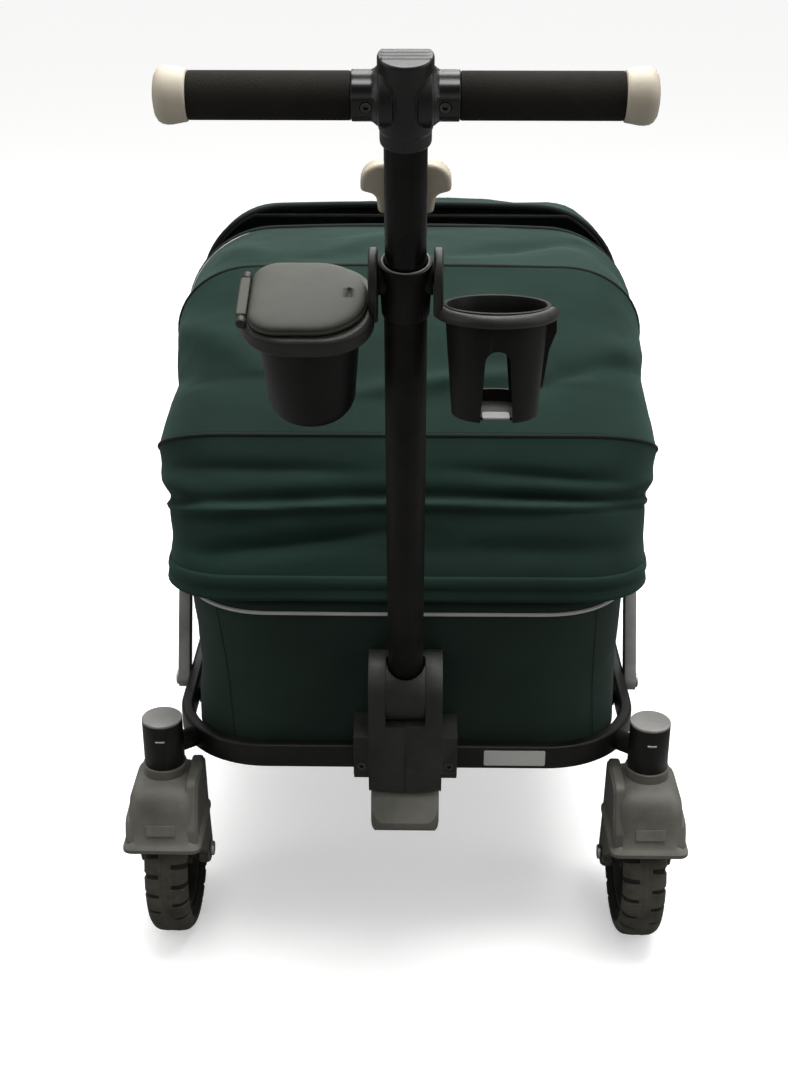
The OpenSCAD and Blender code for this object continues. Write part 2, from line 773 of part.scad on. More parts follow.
module hub_screws() color("silver") pole_frame() hub_screw_place() difference() {
  union() {
    cylinder(d = 8.9, h = 3.9);
    cylinder(d = 4, h = 5);
  }
  translate([0, 0, -1]) cylinder(d = 4.6, h = 3, $fn = 6);
}

module cross_tube() color("#2b2b29") pole_frame() translate([0, 0, pole_len])
  for (s = [-1, 1]) difference() {
    rod_x(cross_d, s > 0 ? slide_d / 2 + 1 : 8 - grip_l / 2, s > 0 ? grip_l / 2 - 8 : -slide_d / 2 - 1);
    rod_x(cross_d - 4, -grip_l, grip_l);
  }

module foam_grips() color("#201e1b") pole_frame() translate([0, 0, pole_len])
  for (s = [-1, 1]) difference() {
    rod_x(foam_d, s > 0 ? socket_x + 0.1 : -foam_end, s > 0 ? foam_end : -socket_x - 0.1);
    rod_x(cross_d + 0.04, -grip_l, grip_l);
  }

module grip_caps() color("#b9ad9c") pole_frame() translate([0, 0, pole_len])
  for (s = [-1, 1]) rotate([0, s * 90, 0]) difference() {
    union() {
      translate([0, 0, foam_end + 0.1]) cylinder(d = foam_d + 1, h = cap_l - 16);
      translate([0, 0, foam_end + cap_l - 20.9]) rotate_extrude() intersection() {
        translate([0, -2]) circle(foam_d / 2 + 3.5);
        square([foam_d, 20.9]);
      }
    }
    cylinder(d = cross_d + 0.04, h = grip_l / 2 - 7.9);
    translate([0, 0, grip_l / 2]) cylinder(d = 200, h = 20);
  }

module trigger() color("#b3a797") pole_frame() translate([0, 0, trigger_at]) {
  // finger wings behind the pole, narrow below and flared above
  rotate([90, 0, 0]) translate([0, 0, -trigger_y - 15]) linear_extrude(15) {
    translate([-24, -37]) square([48, 30]);
    polygon([[-24, -10], [24, -10], [31, 2], [-31, 2]]);
    polygon([[-31, 2], [31, 2], [38, 5], [38, 12], [30, 19], [-30, 19], [-38, 12], [-38, 5]]);
  }
  slab(-4.7, 4.7, 2, trigger_y + 1, -13, 12);
}

module trigger_spring() color("silver") pole_frame()
  for (i = [0:6]) translate([0, 0, trigger_at + 13.2 + 2.9 * i])
    rotate_extrude() translate([9, 0]) circle(d = 2, $fn = 16);

// ---- snack box ----

module snack_ring() color("#33322f") pole_frame() {
  difference() {
    union() {
      translate([snack_x, 0, snack_ring_at]) linear_extrude(snack_ring_h)
        rounded_rect(snack_w, snack_w, 46);
      // ear that turns on the collar's stud
      side_plate(-ear_in - ear_w, -ear_in) {
        translate([0, ear_at]) circle(27);
        polygon([[-15, ear_at], [15, ear_at], [11, snack_ring_at + 2], [-11, snack_ring_at + 2]]);
      }
    }
    translate([snack_x, 0, snack_ring_at - 1]) cylinder(d = bucket_d + 0.6, h = 40);
    translate([0, 0, ear_at]) rod_x(12 + 2 * fit, -80, 0);
    // the lid's hinge barrel turns here
    translate([lid_hinge_x, 0, lid_at + 1]) rotate([90, 0, 0])
      cylinder(d = 9, h = 57, center = true);
  }
  // hinge bar of the lid
  difference() {
    for (s = [-1, 1])
      translate([lid_hinge_x, s * 33, lid_at + 1]) rotate([90, 0, 0])
        cylinder(d = 9, h = 8, center = true);
    translate([lid_hinge_x, 0, lid_at + 1]) rotate([90, 0, 0]) cylinder(d = 4 + 2 * fit, h = 90, center = true);
  }
  for (s = [-1, 1])
    translate([lid_hinge_x - 4.5, s * 33 - 4, snack_ring_at + snack_ring_h - 1]) difference() {
      cube([9, 8, 3]);
      translate([4.5, -1, lid_at - snack_ring_at - snack_ring_h + 2]) rotate([-90, 0, 0])
        cylinder(d = 4 + 2 * fit, h = 10);
    }
}

module snack_bucket() color("#171613") pole_frame()
  translate([snack_x, 0, snack_ring_at + snack_ring_h - bucket_h]) {
    low = bucket_d - 14;
    lip_z = bucket_h - snack_ring_h;
    difference() {
      union() {
        cylinder(d1 = low - 6, d2 = low, h = 4);
        translate([0, 0, 4]) cylinder(d1 = low, d2 = bucket_d, h = lip_z - 4 - gap);
        translate([0, 0, lip_z - gap]) cylinder(d = bucket_d, h = snack_ring_h - 1);
      }
      translate([0, 0, 2.5]) cylinder(d1 = low - 8, d2 = bucket_d - 5, h = lip_z - 2.5);
      translate([0, 0, lip_z - 0.01]) cylinder(d = bucket_d - 5, h = snack_ring_h + 1);
    }
  }

module snack_lid() color("#6d6c64") pole_frame() {
  lid_x = snack_x + 1.5;
  difference() {
    union() {
      translate([lid_x, 0, lid_at]) linear_extrude(3) rounded_rect(lid_w, lid_d, 40);
      translate([lid_x, 0, lid_at + 3]) linear_extrude(lid_t - 5) rounded_rect(lid_w - 4, lid_d - 4, 38);
      translate([lid_x, 0, lid_at + lid_t - 2]) linear_extrude(2) rounded_rect(lid_w - 12, lid_d - 12, 34);
      translate([lid_hinge_x, 0, lid_at + 1]) rotate([90, 0, 0]) cylinder(d = 8, h = 56, center = true);
      slab(lid_hinge_x, lid_x - lid_w / 2 + 20, -28, 28, lid_at, lid_at + 4);
    }
    // clear of the fixed hinge knuckles
    for (s = [-1, 1]) translate([lid_hinge_x, s * 33, lid_at + 1]) rotate([90, 0, 0])
      cylinder(d = 10, h = 9, center = true);
    // finger slot
    translate([lid_x + 36, 0, lid_at + lid_t - 2]) linear_extrude(4) rounded_rect(4, 16, 1.9);
  }
  translate([lid_hinge_x, 0, lid_at + 1]) rotate([90, 0, 0]) cylinder(d = 4, h = 73, center = true);
}

// ---- cup holder ----

module cup_frame() {
  pole_frame() translate([0, 0, ear_at]) rotate([-cup_tilt, 0, 0]) children();
}

module cup_holder() color("#262522") cup_frame() {
  low_d = cup_d - 13;
  floor_z = -cup_drop - cup_h;
  difference() {
    union() {
      translate([cup_x, 0, -cup_drop - cup_rim_h]) cylinder(d = cup_rim_d, h = cup_rim_h);
      translate([cup_x, 0, floor_z]) cylinder(d1 = low_d, d2 = cup_d, h = cup_h - cup_rim_h);
      side_plate(ear_in, ear_in + ear_w) {
        circle(27);
        polygon([[-15, 0], [15, 0], [18, -cup_drop - cup_rim_h], [-18, -cup_drop - cup_rim_h]]);
      }
      // side fin
      translate([cup_x + low_d / 2, 3, -cup_drop - cup_rim_h]) rotate([90, 0, 0]) linear_extrude(6)
        polygon([[-10, 2], [14, 2], [14, -14], [6, -30], [-2, -68], [-6, -68]]);
    }
    translate([cup_x, 0, floor_z + 3])
      cylinder(d1 = low_d - 2 * cup_wall, d2 = cup_d - 2 * cup_wall, h = cup_h - cup_rim_h - 3);
    translate([cup_x, 0, -cup_drop - cup_rim_h - 0.01]) cylinder(d = cup_d - 2 * cup_wall, h = 60);
    // finger slots, front and back
    for (s = [-1, 1]) translate([cup_x, s * 45, floor_z - 1]) rotate([90, 0, 0])
      linear_extrude(40, center = true) {
        translate([-11, s < 0 ? 0 : 14]) square([22, s < 0 ? 54 : 40]);
        translate([0, 54]) circle(11);
      }
    rod_x(12 + 2 * fit, 0, 80);
  }
}

// ---- rear brake ----

module rear_brake() color("#3f3e3a")
  translate([0, brake_y, brake_z]) {
    rod_end = post_x + tyre_w / 2;
    rod_x(brake_rod_d, -rod_end, rod_end);
    for (s = [-1, 1]) translate([s * post_x, 0, 0]) rotate([-3, 0, 0])
      translate([0, 0, -shoe_arm]) {
        rod_x(shoe_d, -18, 18);
        for (x = [-17, 11]) slab(x, x + 6, -5, 5, 0, shoe_arm - 1);
      }
    // foot tread
    rotate([-20, 0, 0]) slab(-45, 45, -8, 22, 3, 11);
  }

ring_frame();
corner_posts();
post_caps();
swivel_bearings();
rear_forks();
rear_axles();
floor_board();
floor_pad();
basket();
strut_pins();
hinge_housing_left();
hinge_housing_right();
housing_screws();
hinge_pins();
pedal_spring();
foot_pedal();
caster_fork_left();
caster_axle_left();
caster_fork_right();
caster_axle_right();
rim_front_left();
tyre_front_left();
rim_front_right();
tyre_front_right();
rim_rear_left();
tyre_rear_left();
rim_rear_right();
tyre_rear_right();
front_struts();
rear_struts();
top_rail();
hood_pivots();
near_bow_1();
near_bow_2();
near_bow_3();
near_cloth_1();
near_cloth_2();
near_cloth_3();
far_bow_1();
far_bow_2();
far_bow_3();
far_cloth_1();
far_cloth_2();
far_cloth_3();
lower_pole();
handle_knuckle();
accessory_collar();
upper_pole();
handle_hub();
cross_tube();
foam_grips();
grip_caps();
hub_screws();
trigger();
trigger_spring();
snack_ring();
snack_bucket();
snack_lid();
cup_holder();
rear_brake();
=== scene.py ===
# %% [markdown]
# # A kids pull wagon
#
# The wagon has a ring-shaped base on four chunky wheels, a fabric basket hung in an upper rail, two
# fan-shaped hoods, and a leaning pole with a cross grip, a snack box and a cup holder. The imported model
# is the frame: it gives every size and place. This script dresses that frame: it sews the soft goods,
# moulds the plastics, cuts the tyre tread and gives each material its own grain, weave and gloss.

import json
import math

import bmesh
import bpy
import numpy as np
from mathutils import Matrix, Vector, noise

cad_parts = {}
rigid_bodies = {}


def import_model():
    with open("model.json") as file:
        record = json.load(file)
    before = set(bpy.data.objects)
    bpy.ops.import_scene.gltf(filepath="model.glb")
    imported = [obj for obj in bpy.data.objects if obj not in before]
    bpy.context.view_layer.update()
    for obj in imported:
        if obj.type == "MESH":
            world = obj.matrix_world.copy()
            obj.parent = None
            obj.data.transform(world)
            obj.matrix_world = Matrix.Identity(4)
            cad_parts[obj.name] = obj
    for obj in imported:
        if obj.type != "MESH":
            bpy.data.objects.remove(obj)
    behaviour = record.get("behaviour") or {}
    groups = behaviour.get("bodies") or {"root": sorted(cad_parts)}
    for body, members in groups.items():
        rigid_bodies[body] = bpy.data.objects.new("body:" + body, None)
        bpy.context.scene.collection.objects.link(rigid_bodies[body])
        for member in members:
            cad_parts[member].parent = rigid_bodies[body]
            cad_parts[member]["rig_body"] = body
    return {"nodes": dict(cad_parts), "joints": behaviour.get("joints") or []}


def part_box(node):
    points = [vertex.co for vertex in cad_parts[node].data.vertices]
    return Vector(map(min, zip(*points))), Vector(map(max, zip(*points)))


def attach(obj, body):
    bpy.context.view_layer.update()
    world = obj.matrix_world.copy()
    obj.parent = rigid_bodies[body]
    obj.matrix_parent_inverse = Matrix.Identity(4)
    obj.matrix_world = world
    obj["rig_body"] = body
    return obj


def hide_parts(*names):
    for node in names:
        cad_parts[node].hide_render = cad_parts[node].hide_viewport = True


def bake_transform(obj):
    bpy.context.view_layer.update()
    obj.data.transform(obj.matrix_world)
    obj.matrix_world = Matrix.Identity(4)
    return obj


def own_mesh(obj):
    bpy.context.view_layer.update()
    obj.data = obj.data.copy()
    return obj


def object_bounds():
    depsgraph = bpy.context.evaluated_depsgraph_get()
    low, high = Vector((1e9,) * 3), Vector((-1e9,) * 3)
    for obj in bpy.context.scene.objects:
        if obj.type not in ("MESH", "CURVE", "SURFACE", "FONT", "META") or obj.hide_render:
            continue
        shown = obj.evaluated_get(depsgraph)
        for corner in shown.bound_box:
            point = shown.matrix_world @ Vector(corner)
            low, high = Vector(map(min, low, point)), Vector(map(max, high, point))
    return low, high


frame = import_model()
cad_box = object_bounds()
print("frame nodes:", len(frame["nodes"]), "box:", [[round(v, 3) for v in c] for c in cad_box])

# %% [markdown]
# The camera stands at an adult's chest height in front of the handle and looks down at the wagon. Its
# place is given from the wagon's own front and middle, so it keeps its view if the frame moves. A small
# turn to the left does what a lens shift would do, and leaves every other view unshifted.

# %% Camera
FOCAL_LENGTH = 49.45
CAMERA_HEIGHT = 1.217
CAMERA_AHEAD = 1.193
CAMERA_SIDE = 0.010
LOOK_DOWN = math.radians(24.5)
TURN_LEFT = math.radians(0.9)


def make_camera():
    data = bpy.data.cameras.new("camera")
    data.lens = FOCAL_LENGTH
    data.sensor_fit = "VERTICAL"
    data.sensor_height = 36.0
    data.sensor_width = 36.0
    camera = bpy.data.objects.new("camera", data)
    camera.location = (CAMERA_SIDE, cad_box[0][1] - CAMERA_AHEAD, CAMERA_HEIGHT)
    camera.rotation_euler = (math.pi / 2 - LOOK_DOWN, 0, TURN_LEFT)
    bpy.context.scene.collection.objects.link(camera)
    bpy.context.scene.camera = camera
    return camera


camera = make_camera()
print("camera at", [round(v, 3) for v in camera.location])

# %% [markdown]
# A flat, pale floor runs far past the wagon, under a plain white backdrop. Both look brighter to the
# camera than the light they throw back, so that black parts aren't washed out from below. Four large,
# soft lights stand in for a studio: one overhead, one on each side for the edges, and one behind.

# %% Floor and lights
FLOOR_HALF = 25.0
FLOOR_LIT = (0.26, 0.26, 0.26, 1)
FLOOR_SEEN = (0.90, 0.90, 0.89, 1)
FLOOR_GLOW = 0.40
WORLD_LOW, WORLD_HIGH = 0.13, 0.75


def make_floor():
    mesh = bpy.data.meshes.new("floor")
    half = FLOOR_HALF
    mesh.from_pydata([(-half, -half, 0), (half, -half, 0), (half, half, 0), (-half, half, 0)],
                     [], [(0, 1, 2, 3)])
    floor = bpy.data.objects.new("floor", mesh)
    bpy.context.scene.collection.objects.link(floor)
    material = bpy.data.materials.new("pale_floor")
    material.use_nodes = True
    surface = material.node_tree.nodes["Principled BSDF"]
    surface.inputs["Roughness"].default_value = 0.75
    surface.inputs["Specular IOR Level"].default_value = 0.0
    surface.inputs["Emission Color"].default_value = (1, 1, 1, 1)
    seen = material.node_tree.nodes.new("ShaderNodeLightPath")
    lift = material.node_tree.nodes.new("ShaderNodeMath")
    lift.operation = "MULTIPLY"
    lift.inputs[1].default_value = FLOOR_GLOW
    shade = material.node_tree.nodes.new("ShaderNodeMix")
    shade.data_type = "RGBA"
    shade.inputs["A"].default_value = FLOOR_LIT
    shade.inputs["B"].default_value = FLOOR_SEEN
    material.node_tree.links.new(seen.outputs["Is Camera Ray"], shade.inputs["Factor"])
    material.node_tree.links.new(shade.outputs["Result"], surface.inputs["Base Color"])
    material.node_tree.links.new(seen.outputs["Is Camera Ray"], lift.inputs[0])
    material.node_tree.links.new(lift.outputs[0], surface.inputs["Emission Strength"])
    mesh.materials.append(material)


def make_light(name, place, target, size, power):
    data = bpy.data.lights.new(name, "AREA")
    data.shape = "RECTANGLE"
    data.size, data.size_y = size
    data.energy = power
    light = bpy.data.objects.new(name, data)
    light.location = place
    light.rotation_euler = (Vector(target) - Vector(place)).to_track_quat("-Z", "Y").to_euler()
    bpy.context.scene.collection.objects.link(light)
    return light


def make_world(low, high):
    """A studio that is dim at eye level and bright overhead, in front of a plain white backdrop."""
    world = bpy.data.worlds.new("studio")
    world.use_nodes = True
    tree = world.node_tree
    background = tree.nodes["Background"]
    background.inputs["Color"].default_value = (1.0, 1.0, 1.0, 1)
    coordinates = tree.nodes.new("ShaderNodeTexCoord")
    split = tree.nodes.new("ShaderNodeSeparateXYZ")
    climb = tree.nodes.new("ShaderNodeMapRange")
    climb.interpolation_type = "SMOOTHSTEP"
    climb.inputs["From Min"].default_value = 0.05
    climb.inputs["From Max"].default_value = 0.90
    climb.inputs["To Min"].default_value = low
    climb.inputs["To Max"].default_value = high
    seen = tree.nodes.new("ShaderNodeLightPath")
    choice = tree.nodes.new("ShaderNodeMix")
    choice.inputs["B"].default_value = 1.0
    tree.links.new(coordinates.outputs["Generated"], split.inputs[0])
    tree.links.new(split.outputs["Z"], climb.inputs["Value"])
    tree.links.new(seen.outputs["Is Camera Ray"], choice.inputs["Factor"])
    tree.links.new(climb.outputs["Result"], choice.inputs["A"])
    tree.links.new(choice.outputs["Result"], background.inputs["Strength"])
    bpy.context.scene.world = world


make_floor()
make_world(WORLD_LOW, WORLD_HIGH)
AIM = (0.0, 0.0, 0.55)
make_light("overhead", (0.2, 0.1, 2.9), AIM, (2.2, 1.8), 105)
make_light("left_side", (-2.6, -1.0, 1.6), AIM, (1.0, 2.0), 12)
make_light("right_side", (2.6, -0.8, 1.6), AIM, (1.0, 2.0), 16)
make_light("behind", (0.0, 3.0, 2.4), AIM, (2.4, 1.4), 34)
bpy.context.scene.view_settings.view_transform = "Standard"
print("floor and lights made")

# %% [markdown]
# ## Shared shader effects
#
# Most finishes here are a plain colour that varies a little, over a fine grain, with edges that have
# worn lighter. Each of these effects is one node group with named inputs, so every material can use it
# with its own values. The shader itself stays in each material.

# %% Node group helpers
def new_group(name, inputs, outputs):
    tree = bpy.data.node_groups.new(name, "ShaderNodeTree")
    for label, kind, default in inputs:
        socket = tree.interface.new_socket(name=label, in_out="INPUT", socket_type=kind)
        socket.default_value = default
    for label, kind in outputs:
        tree.interface.new_socket(name=label, in_out="OUTPUT", socket_type=kind)
    return tree, tree.nodes.new("NodeGroupInput"), tree.nodes.new("NodeGroupOutput")


def add_node(tree, kind, settings=(), values=()):
    node = tree.nodes.new(kind)
    for key, value in dict(settings).items():
        setattr(node, key, value)
    for key, value in dict(values).items():
        node.inputs[key].default_value = value
    return node


def add_math(tree, operation, first, second, clamp=False):
    node = add_node(tree, "ShaderNodeMath", {"operation": operation, "use_clamp": clamp})
    for socket, value in zip(node.inputs, (first, second)):
        if isinstance(value, (int, float)):
            socket.default_value = value
        else:
            tree.links.new(value, socket)
    return node.outputs[0]


FLOAT, VECTOR = "NodeSocketFloat", "NodeSocketVector"
print("node helpers ready")

# %% [markdown]
# Moulded plastic and powder coat both have a fine, even grain. A noise gives the height of the grain,
# and a second, much larger noise gives the slow change of gloss and colour that handling leaves.

# %% Grain group
def make_grain_group():
    tree, start, end = new_group(
        "fine_grain",
        [("Grain Size", FLOAT, 1500.0), ("Patch Size", FLOAT, 14.0), ("Depth", FLOAT, 0.1)],
        [("Height", FLOAT), ("Patches", FLOAT), ("Normal", VECTOR)])
    place = add_node(tree, "ShaderNodeTexCoord")
    fine = add_node(tree, "ShaderNodeTexNoise", values={"Detail": 2.0, "Roughness": 0.55})
    patch = add_node(tree, "ShaderNodeTexNoise", values={"Detail": 4.0, "Roughness": 0.6})
    bump = add_node(tree, "ShaderNodeBump", values={"Distance": 0.0006})
    tree.links.new(place.outputs["Object"], fine.inputs["Vector"])
    tree.links.new(place.outputs["Object"], patch.inputs["Vector"])
    tree.links.new(start.outputs["Grain Size"], fine.inputs["Scale"])
    tree.links.new(start.outputs["Patch Size"], patch.inputs["Scale"])
    tree.links.new(start.outputs["Depth"], bump.inputs["Strength"])
    tree.links.new(fine.outputs["Fac"], bump.inputs["Height"])
    tree.links.new(fine.outputs["Fac"], end.inputs["Height"])
    tree.links.new(patch.outputs["Fac"], end.inputs["Patches"])
    tree.links.new(bump.outputs["Normal"], end.inputs["Normal"])
    return tree


grain_group = make_grain_group()
print("grain group:", len(grain_group.nodes), "nodes")

# %% [markdown]
# Edges rub lighter with use. Pointiness is high on outer edges, and a broken noise keeps the wear from
# running in an even line.

# %% Edge wear group
def make_wear_group():
    tree, start, end = new_group(
        "edge_wear", [("Amount", FLOAT, 0.5), ("Breakup", FLOAT, 60.0)], [("Mask", FLOAT)])
    geometry = add_node(tree, "ShaderNodeNewGeometry")
    place = add_node(tree, "ShaderNodeTexCoord")
    broken = add_node(tree, "ShaderNodeTexNoise", values={"Detail": 5.0, "Roughness": 0.7})
    edge = add_node(tree, "ShaderNodeMapRange",
                    values={"From Min": 0.53, "From Max": 0.62, "To Min": 0.0, "To Max": 1.0})
    patch = add_node(tree, "ShaderNodeMapRange",
                     values={"From Min": 0.40, "From Max": 0.62, "To Min": 0.0, "To Max": 1.0})
    tree.links.new(place.outputs["Object"], broken.inputs["Vector"])
    tree.links.new(start.outputs["Breakup"], broken.inputs["Scale"])
    tree.links.new(geometry.outputs["Pointiness"], edge.inputs["Value"])
    tree.links.new(broken.outputs["Fac"], patch.inputs["Value"])
    both = add_math(tree, "MULTIPLY", edge.outputs["Result"], patch.outputs["Result"])
    amount = add_math(tree, "MULTIPLY", both, start.outputs["Amount"], clamp=True)
    tree.links.new(amount, end.inputs["Mask"])
    return tree


wear_group = make_wear_group()
print("wear group:", len(wear_group.nodes), "nodes")

# %% [markdown]
# A hard finish is the plain recipe for all the metals and plastics: base colour, a lighter worn colour
# on edges, dusty patches, and the grain as bump. The roughness varies with the same patches. Metal, coat
# and specular are plain numbers on the shader's own sockets.

# %% Hard finishes
def make_hard_finish(name, colour, rough, metal=0.0, coat=0.0, grain=1500.0, depth=0.1,
                     wear=0.25, worn=None, patch_size=14.0, patch_gain=0.25, specular=0.5):
    material = bpy.data.materials.new(name)
    material.use_nodes = True
    tree = material.node_tree
    surface = tree.nodes["Principled BSDF"]
    surface.inputs["Metallic"].default_value = metal
    surface.inputs["Coat Weight"].default_value = coat
    surface.inputs["Coat Roughness"].default_value = 0.25
    surface.inputs["Specular IOR Level"].default_value = specular
    grain_node = add_node(tree, "ShaderNodeGroup", {"node_tree": grain_group},
                          {"Grain Size": grain, "Depth": depth, "Patch Size": patch_size})
    wear_node = add_node(tree, "ShaderNodeGroup", {"node_tree": wear_group}, {"Amount": wear})
    shade = add_node(tree, "ShaderNodeMix", {"data_type": "RGBA"})
    light = [min(1.0, c * (1 + patch_gain) + 0.004) for c in colour]
    dark = [c * (1 - patch_gain) for c in colour]
    shade.inputs["A"].default_value = (*dark, 1)
    shade.inputs["B"].default_value = (*light, 1)
    edged = add_node(tree, "ShaderNodeMix", {"data_type": "RGBA"})
    edged.inputs["B"].default_value = (*(worn or [min(1.0, c * 2.2 + 0.03) for c in colour]), 1)
    spread = add_node(tree, "ShaderNodeMapRange",
                      values={"From Min": 0.35, "From Max": 0.65, "To Min": 0.0, "To Max": 1.0})
    gloss = add_node(tree, "ShaderNodeMapRange",
                     values={"From Min": 0.3, "From Max": 0.7,
                             "To Min": max(0.05, rough - 0.07), "To Max": min(1.0, rough + 0.07)})
    tree.links.new(grain_node.outputs["Patches"], spread.inputs["Value"])
    tree.links.new(grain_node.outputs["Patches"], gloss.inputs["Value"])
    tree.links.new(spread.outputs["Result"], shade.inputs["Factor"])
    tree.links.new(shade.outputs["Result"], edged.inputs["A"])
    tree.links.new(wear_node.outputs["Mask"], edged.inputs["Factor"])
    tree.links.new(edged.outputs["Result"], surface.inputs["Base Color"])
    tree.links.new(gloss.outputs["Result"], surface.inputs["Roughness"])
    tree.links.new(grain_node.outputs["Normal"], surface.inputs["Normal"])
    return material


HARD = {
    "black_tube": dict(colour=(0.0045, 0.0042, 0.0032), rough=0.40, grain=2600, depth=0.10,
                       specular=0.20),
    "pole_coat": dict(colour=(0.0055, 0.0050, 0.0034), rough=0.48, grain=1900, depth=0.22,
                      specular=0.12),
    "gloss_tube": dict(colour=(0.0035, 0.0035, 0.0028), rough=0.30, grain=3000, depth=0.05,
                       specular=0.14),
    "hub_casting": dict(colour=(0.0070, 0.0070, 0.0060), rough=0.36, grain=2200, depth=0.08,
                        specular=0.35),
    "zinc": dict(colour=(0.50, 0.50, 0.48), rough=0.34, metal=1.0, grain=900, depth=0.06,
                 patch_gain=0.12),
    "dark_steel": dict(colour=(0.060, 0.058, 0.052), rough=0.38, metal=1.0, grain=900, depth=0.06,
                       patch_gain=0.12),
    "fork_plastic": dict(colour=(0.105, 0.102, 0.086), rough=0.55, grain=1100, depth=0.28, wear=0.5,
                         specular=0.35),
    "black_plastic": dict(colour=(0.0045, 0.0046, 0.0034), rough=0.48, grain=1300, depth=0.20,
                          specular=0.14),
    "housing_plastic": dict(colour=(0.0165, 0.0165, 0.0135), rough=0.52, grain=1200, depth=0.25,
                            specular=0.25),
    "rim_of_holder": dict(colour=(0.0170, 0.0172, 0.0140), rough=0.48, grain=1200, depth=0.22,
                          specular=0.28),
    "pedal_plastic": dict(colour=(0.090, 0.088, 0.074), rough=0.62, grain=900, depth=0.35, wear=0.6,
                          specular=0.30),
    "lid_plastic": dict(colour=(0.044, 0.045, 0.036), rough=0.62, grain=1300, depth=0.20,
                        specular=0.25),
    "strut_plastic": dict(colour=(0.20, 0.20, 0.19), rough=0.45, grain=1300, depth=0.18),
    "trim_plastic": dict(colour=(0.47, 0.42, 0.33), rough=0.52, grain=1000, depth=0.12,
                         patch_gain=0.08, wear=0.1, specular=0.35),
    "cap_plastic": dict(colour=(0.19, 0.186, 0.175), rough=0.55, grain=1200, depth=0.22),
    "wheel_plastic": dict(colour=(0.030, 0.029, 0.025), rough=0.55, grain=1000, depth=0.25,
                          specular=0.3),
    "board": dict(colour=(0.020, 0.020, 0.018), rough=0.70, grain=500, depth=0.3),
}
hard = {name: make_hard_finish(name, **values) for name, values in HARD.items()}
print("hard finishes:", ", ".join(hard))

# %% [markdown]
# ## Fabrics
#
# The hoods and the basket are woven polyester. The weave is two crossed waves laid along the cloth's own
# UV map, whose unit is one metre of cloth, so it follows every fold. Small slubs break its evenness, and
# sheen lifts the colour where the cloth turns away.

# %% Weave group
def make_weave_group():
    tree, start, end = new_group(
        "woven_cloth",
        [("Threads", FLOAT, 900.0), ("Slubs", FLOAT, 90.0), ("Depth", FLOAT, 0.3)],
        [("Normal", VECTOR), ("Threads", FLOAT), ("Patches", FLOAT)])
    cloth = add_node(tree, "ShaderNodeUVMap", {"uv_map": "cloth"})
    place = add_node(tree, "ShaderNodeTexCoord")
    split = add_node(tree, "ShaderNodeSeparateXYZ")
    tree.links.new(cloth.outputs["UV"], split.inputs[0])
    waves = []
    for axis in ("X", "Y"):
        turned = add_math(tree, "MULTIPLY", split.outputs[axis], start.outputs["Threads"])
        waves.append(add_math(tree, "SINE", add_math(tree, "MULTIPLY", turned, 2 * math.pi), 0.0))
    crossed = add_math(tree, "MULTIPLY", waves[0], waves[1])
    weave = add_math(tree, "ADD", add_math(tree, "MULTIPLY", crossed, 0.5), 0.5)
    slub = add_node(tree, "ShaderNodeTexNoise", values={"Detail": 6.0, "Roughness": 0.75})
    patch = add_node(tree, "ShaderNodeTexNoise",
                     values={"Scale": 7.0, "Detail": 3.0, "Roughness": 0.5})
    tree.links.new(place.outputs["Object"], patch.inputs["Vector"])
    tree.links.new(place.outputs["Object"], slub.inputs["Vector"])
    tree.links.new(start.outputs["Slubs"], slub.inputs["Scale"])
    height = add_math(tree, "ADD", add_math(tree, "MULTIPLY", weave, 0.35), slub.outputs["Fac"])
    bump = add_node(tree, "ShaderNodeBump", values={"Distance": 0.0014})
    tree.links.new(height, bump.inputs["Height"])
    tree.links.new(start.outputs["Depth"], bump.inputs["Strength"])
    tree.links.new(bump.outputs["Normal"], end.inputs["Normal"])
    tree.links.new(weave, end.inputs["Threads"])
    tree.links.new(patch.outputs["Fac"], end.inputs["Patches"])
    return tree


weave_group = make_weave_group()
print("weave group:", len(weave_group.nodes), "nodes")

# %% Cloth finishes
def make_cloth_finish(name, colour, threads=900.0, depth=0.3, sheen=0.35, patch_gain=0.25,
                      sheen_tint=(0.55, 0.75, 0.68), rough=0.88, slubs=90.0):
    material = bpy.data.materials.new(name)
    material.use_nodes = True
    tree = material.node_tree
    surface = tree.nodes["Principled BSDF"]
    surface.inputs["Roughness"].default_value = rough
    surface.inputs["Specular IOR Level"].default_value = 0.25
    surface.inputs["Sheen Weight"].default_value = sheen
    surface.inputs["Sheen Roughness"].default_value = 0.45
    surface.inputs["Sheen Tint"].default_value = (*sheen_tint, 1)
    weave = add_node(tree, "ShaderNodeGroup", {"node_tree": weave_group},
                     {"Threads": threads, "Depth": depth, "Slubs": slubs})
    patch = add_node(tree, "ShaderNodeMapRange", values={"From Min": 0.3, "From Max": 0.7})
    shade = add_node(tree, "ShaderNodeMix", {"data_type": "RGBA"})
    shade.inputs["A"].default_value = (*[c * (1 - patch_gain) for c in colour], 1)
    shade.inputs["B"].default_value = (*[c * (1 + patch_gain) for c in colour], 1)
    thread = add_node(tree, "ShaderNodeMix", {"data_type": "RGBA"})
    thread.inputs["B"].default_value = (*[min(1, c * 1.5 + 0.002) for c in colour], 1)
    faint = add_math(tree, "MULTIPLY", weave.outputs["Threads"], 0.35)
    tree.links.new(weave.outputs["Patches"], patch.inputs["Value"])
    tree.links.new(patch.outputs["Result"], shade.inputs["Factor"])
    tree.links.new(shade.outputs["Result"], thread.inputs["A"])
    tree.links.new(faint, thread.inputs["Factor"])
    tree.links.new(thread.outputs["Result"], surface.inputs["Base Color"])
    tree.links.new(weave.outputs["Normal"], surface.inputs["Normal"])
    return material


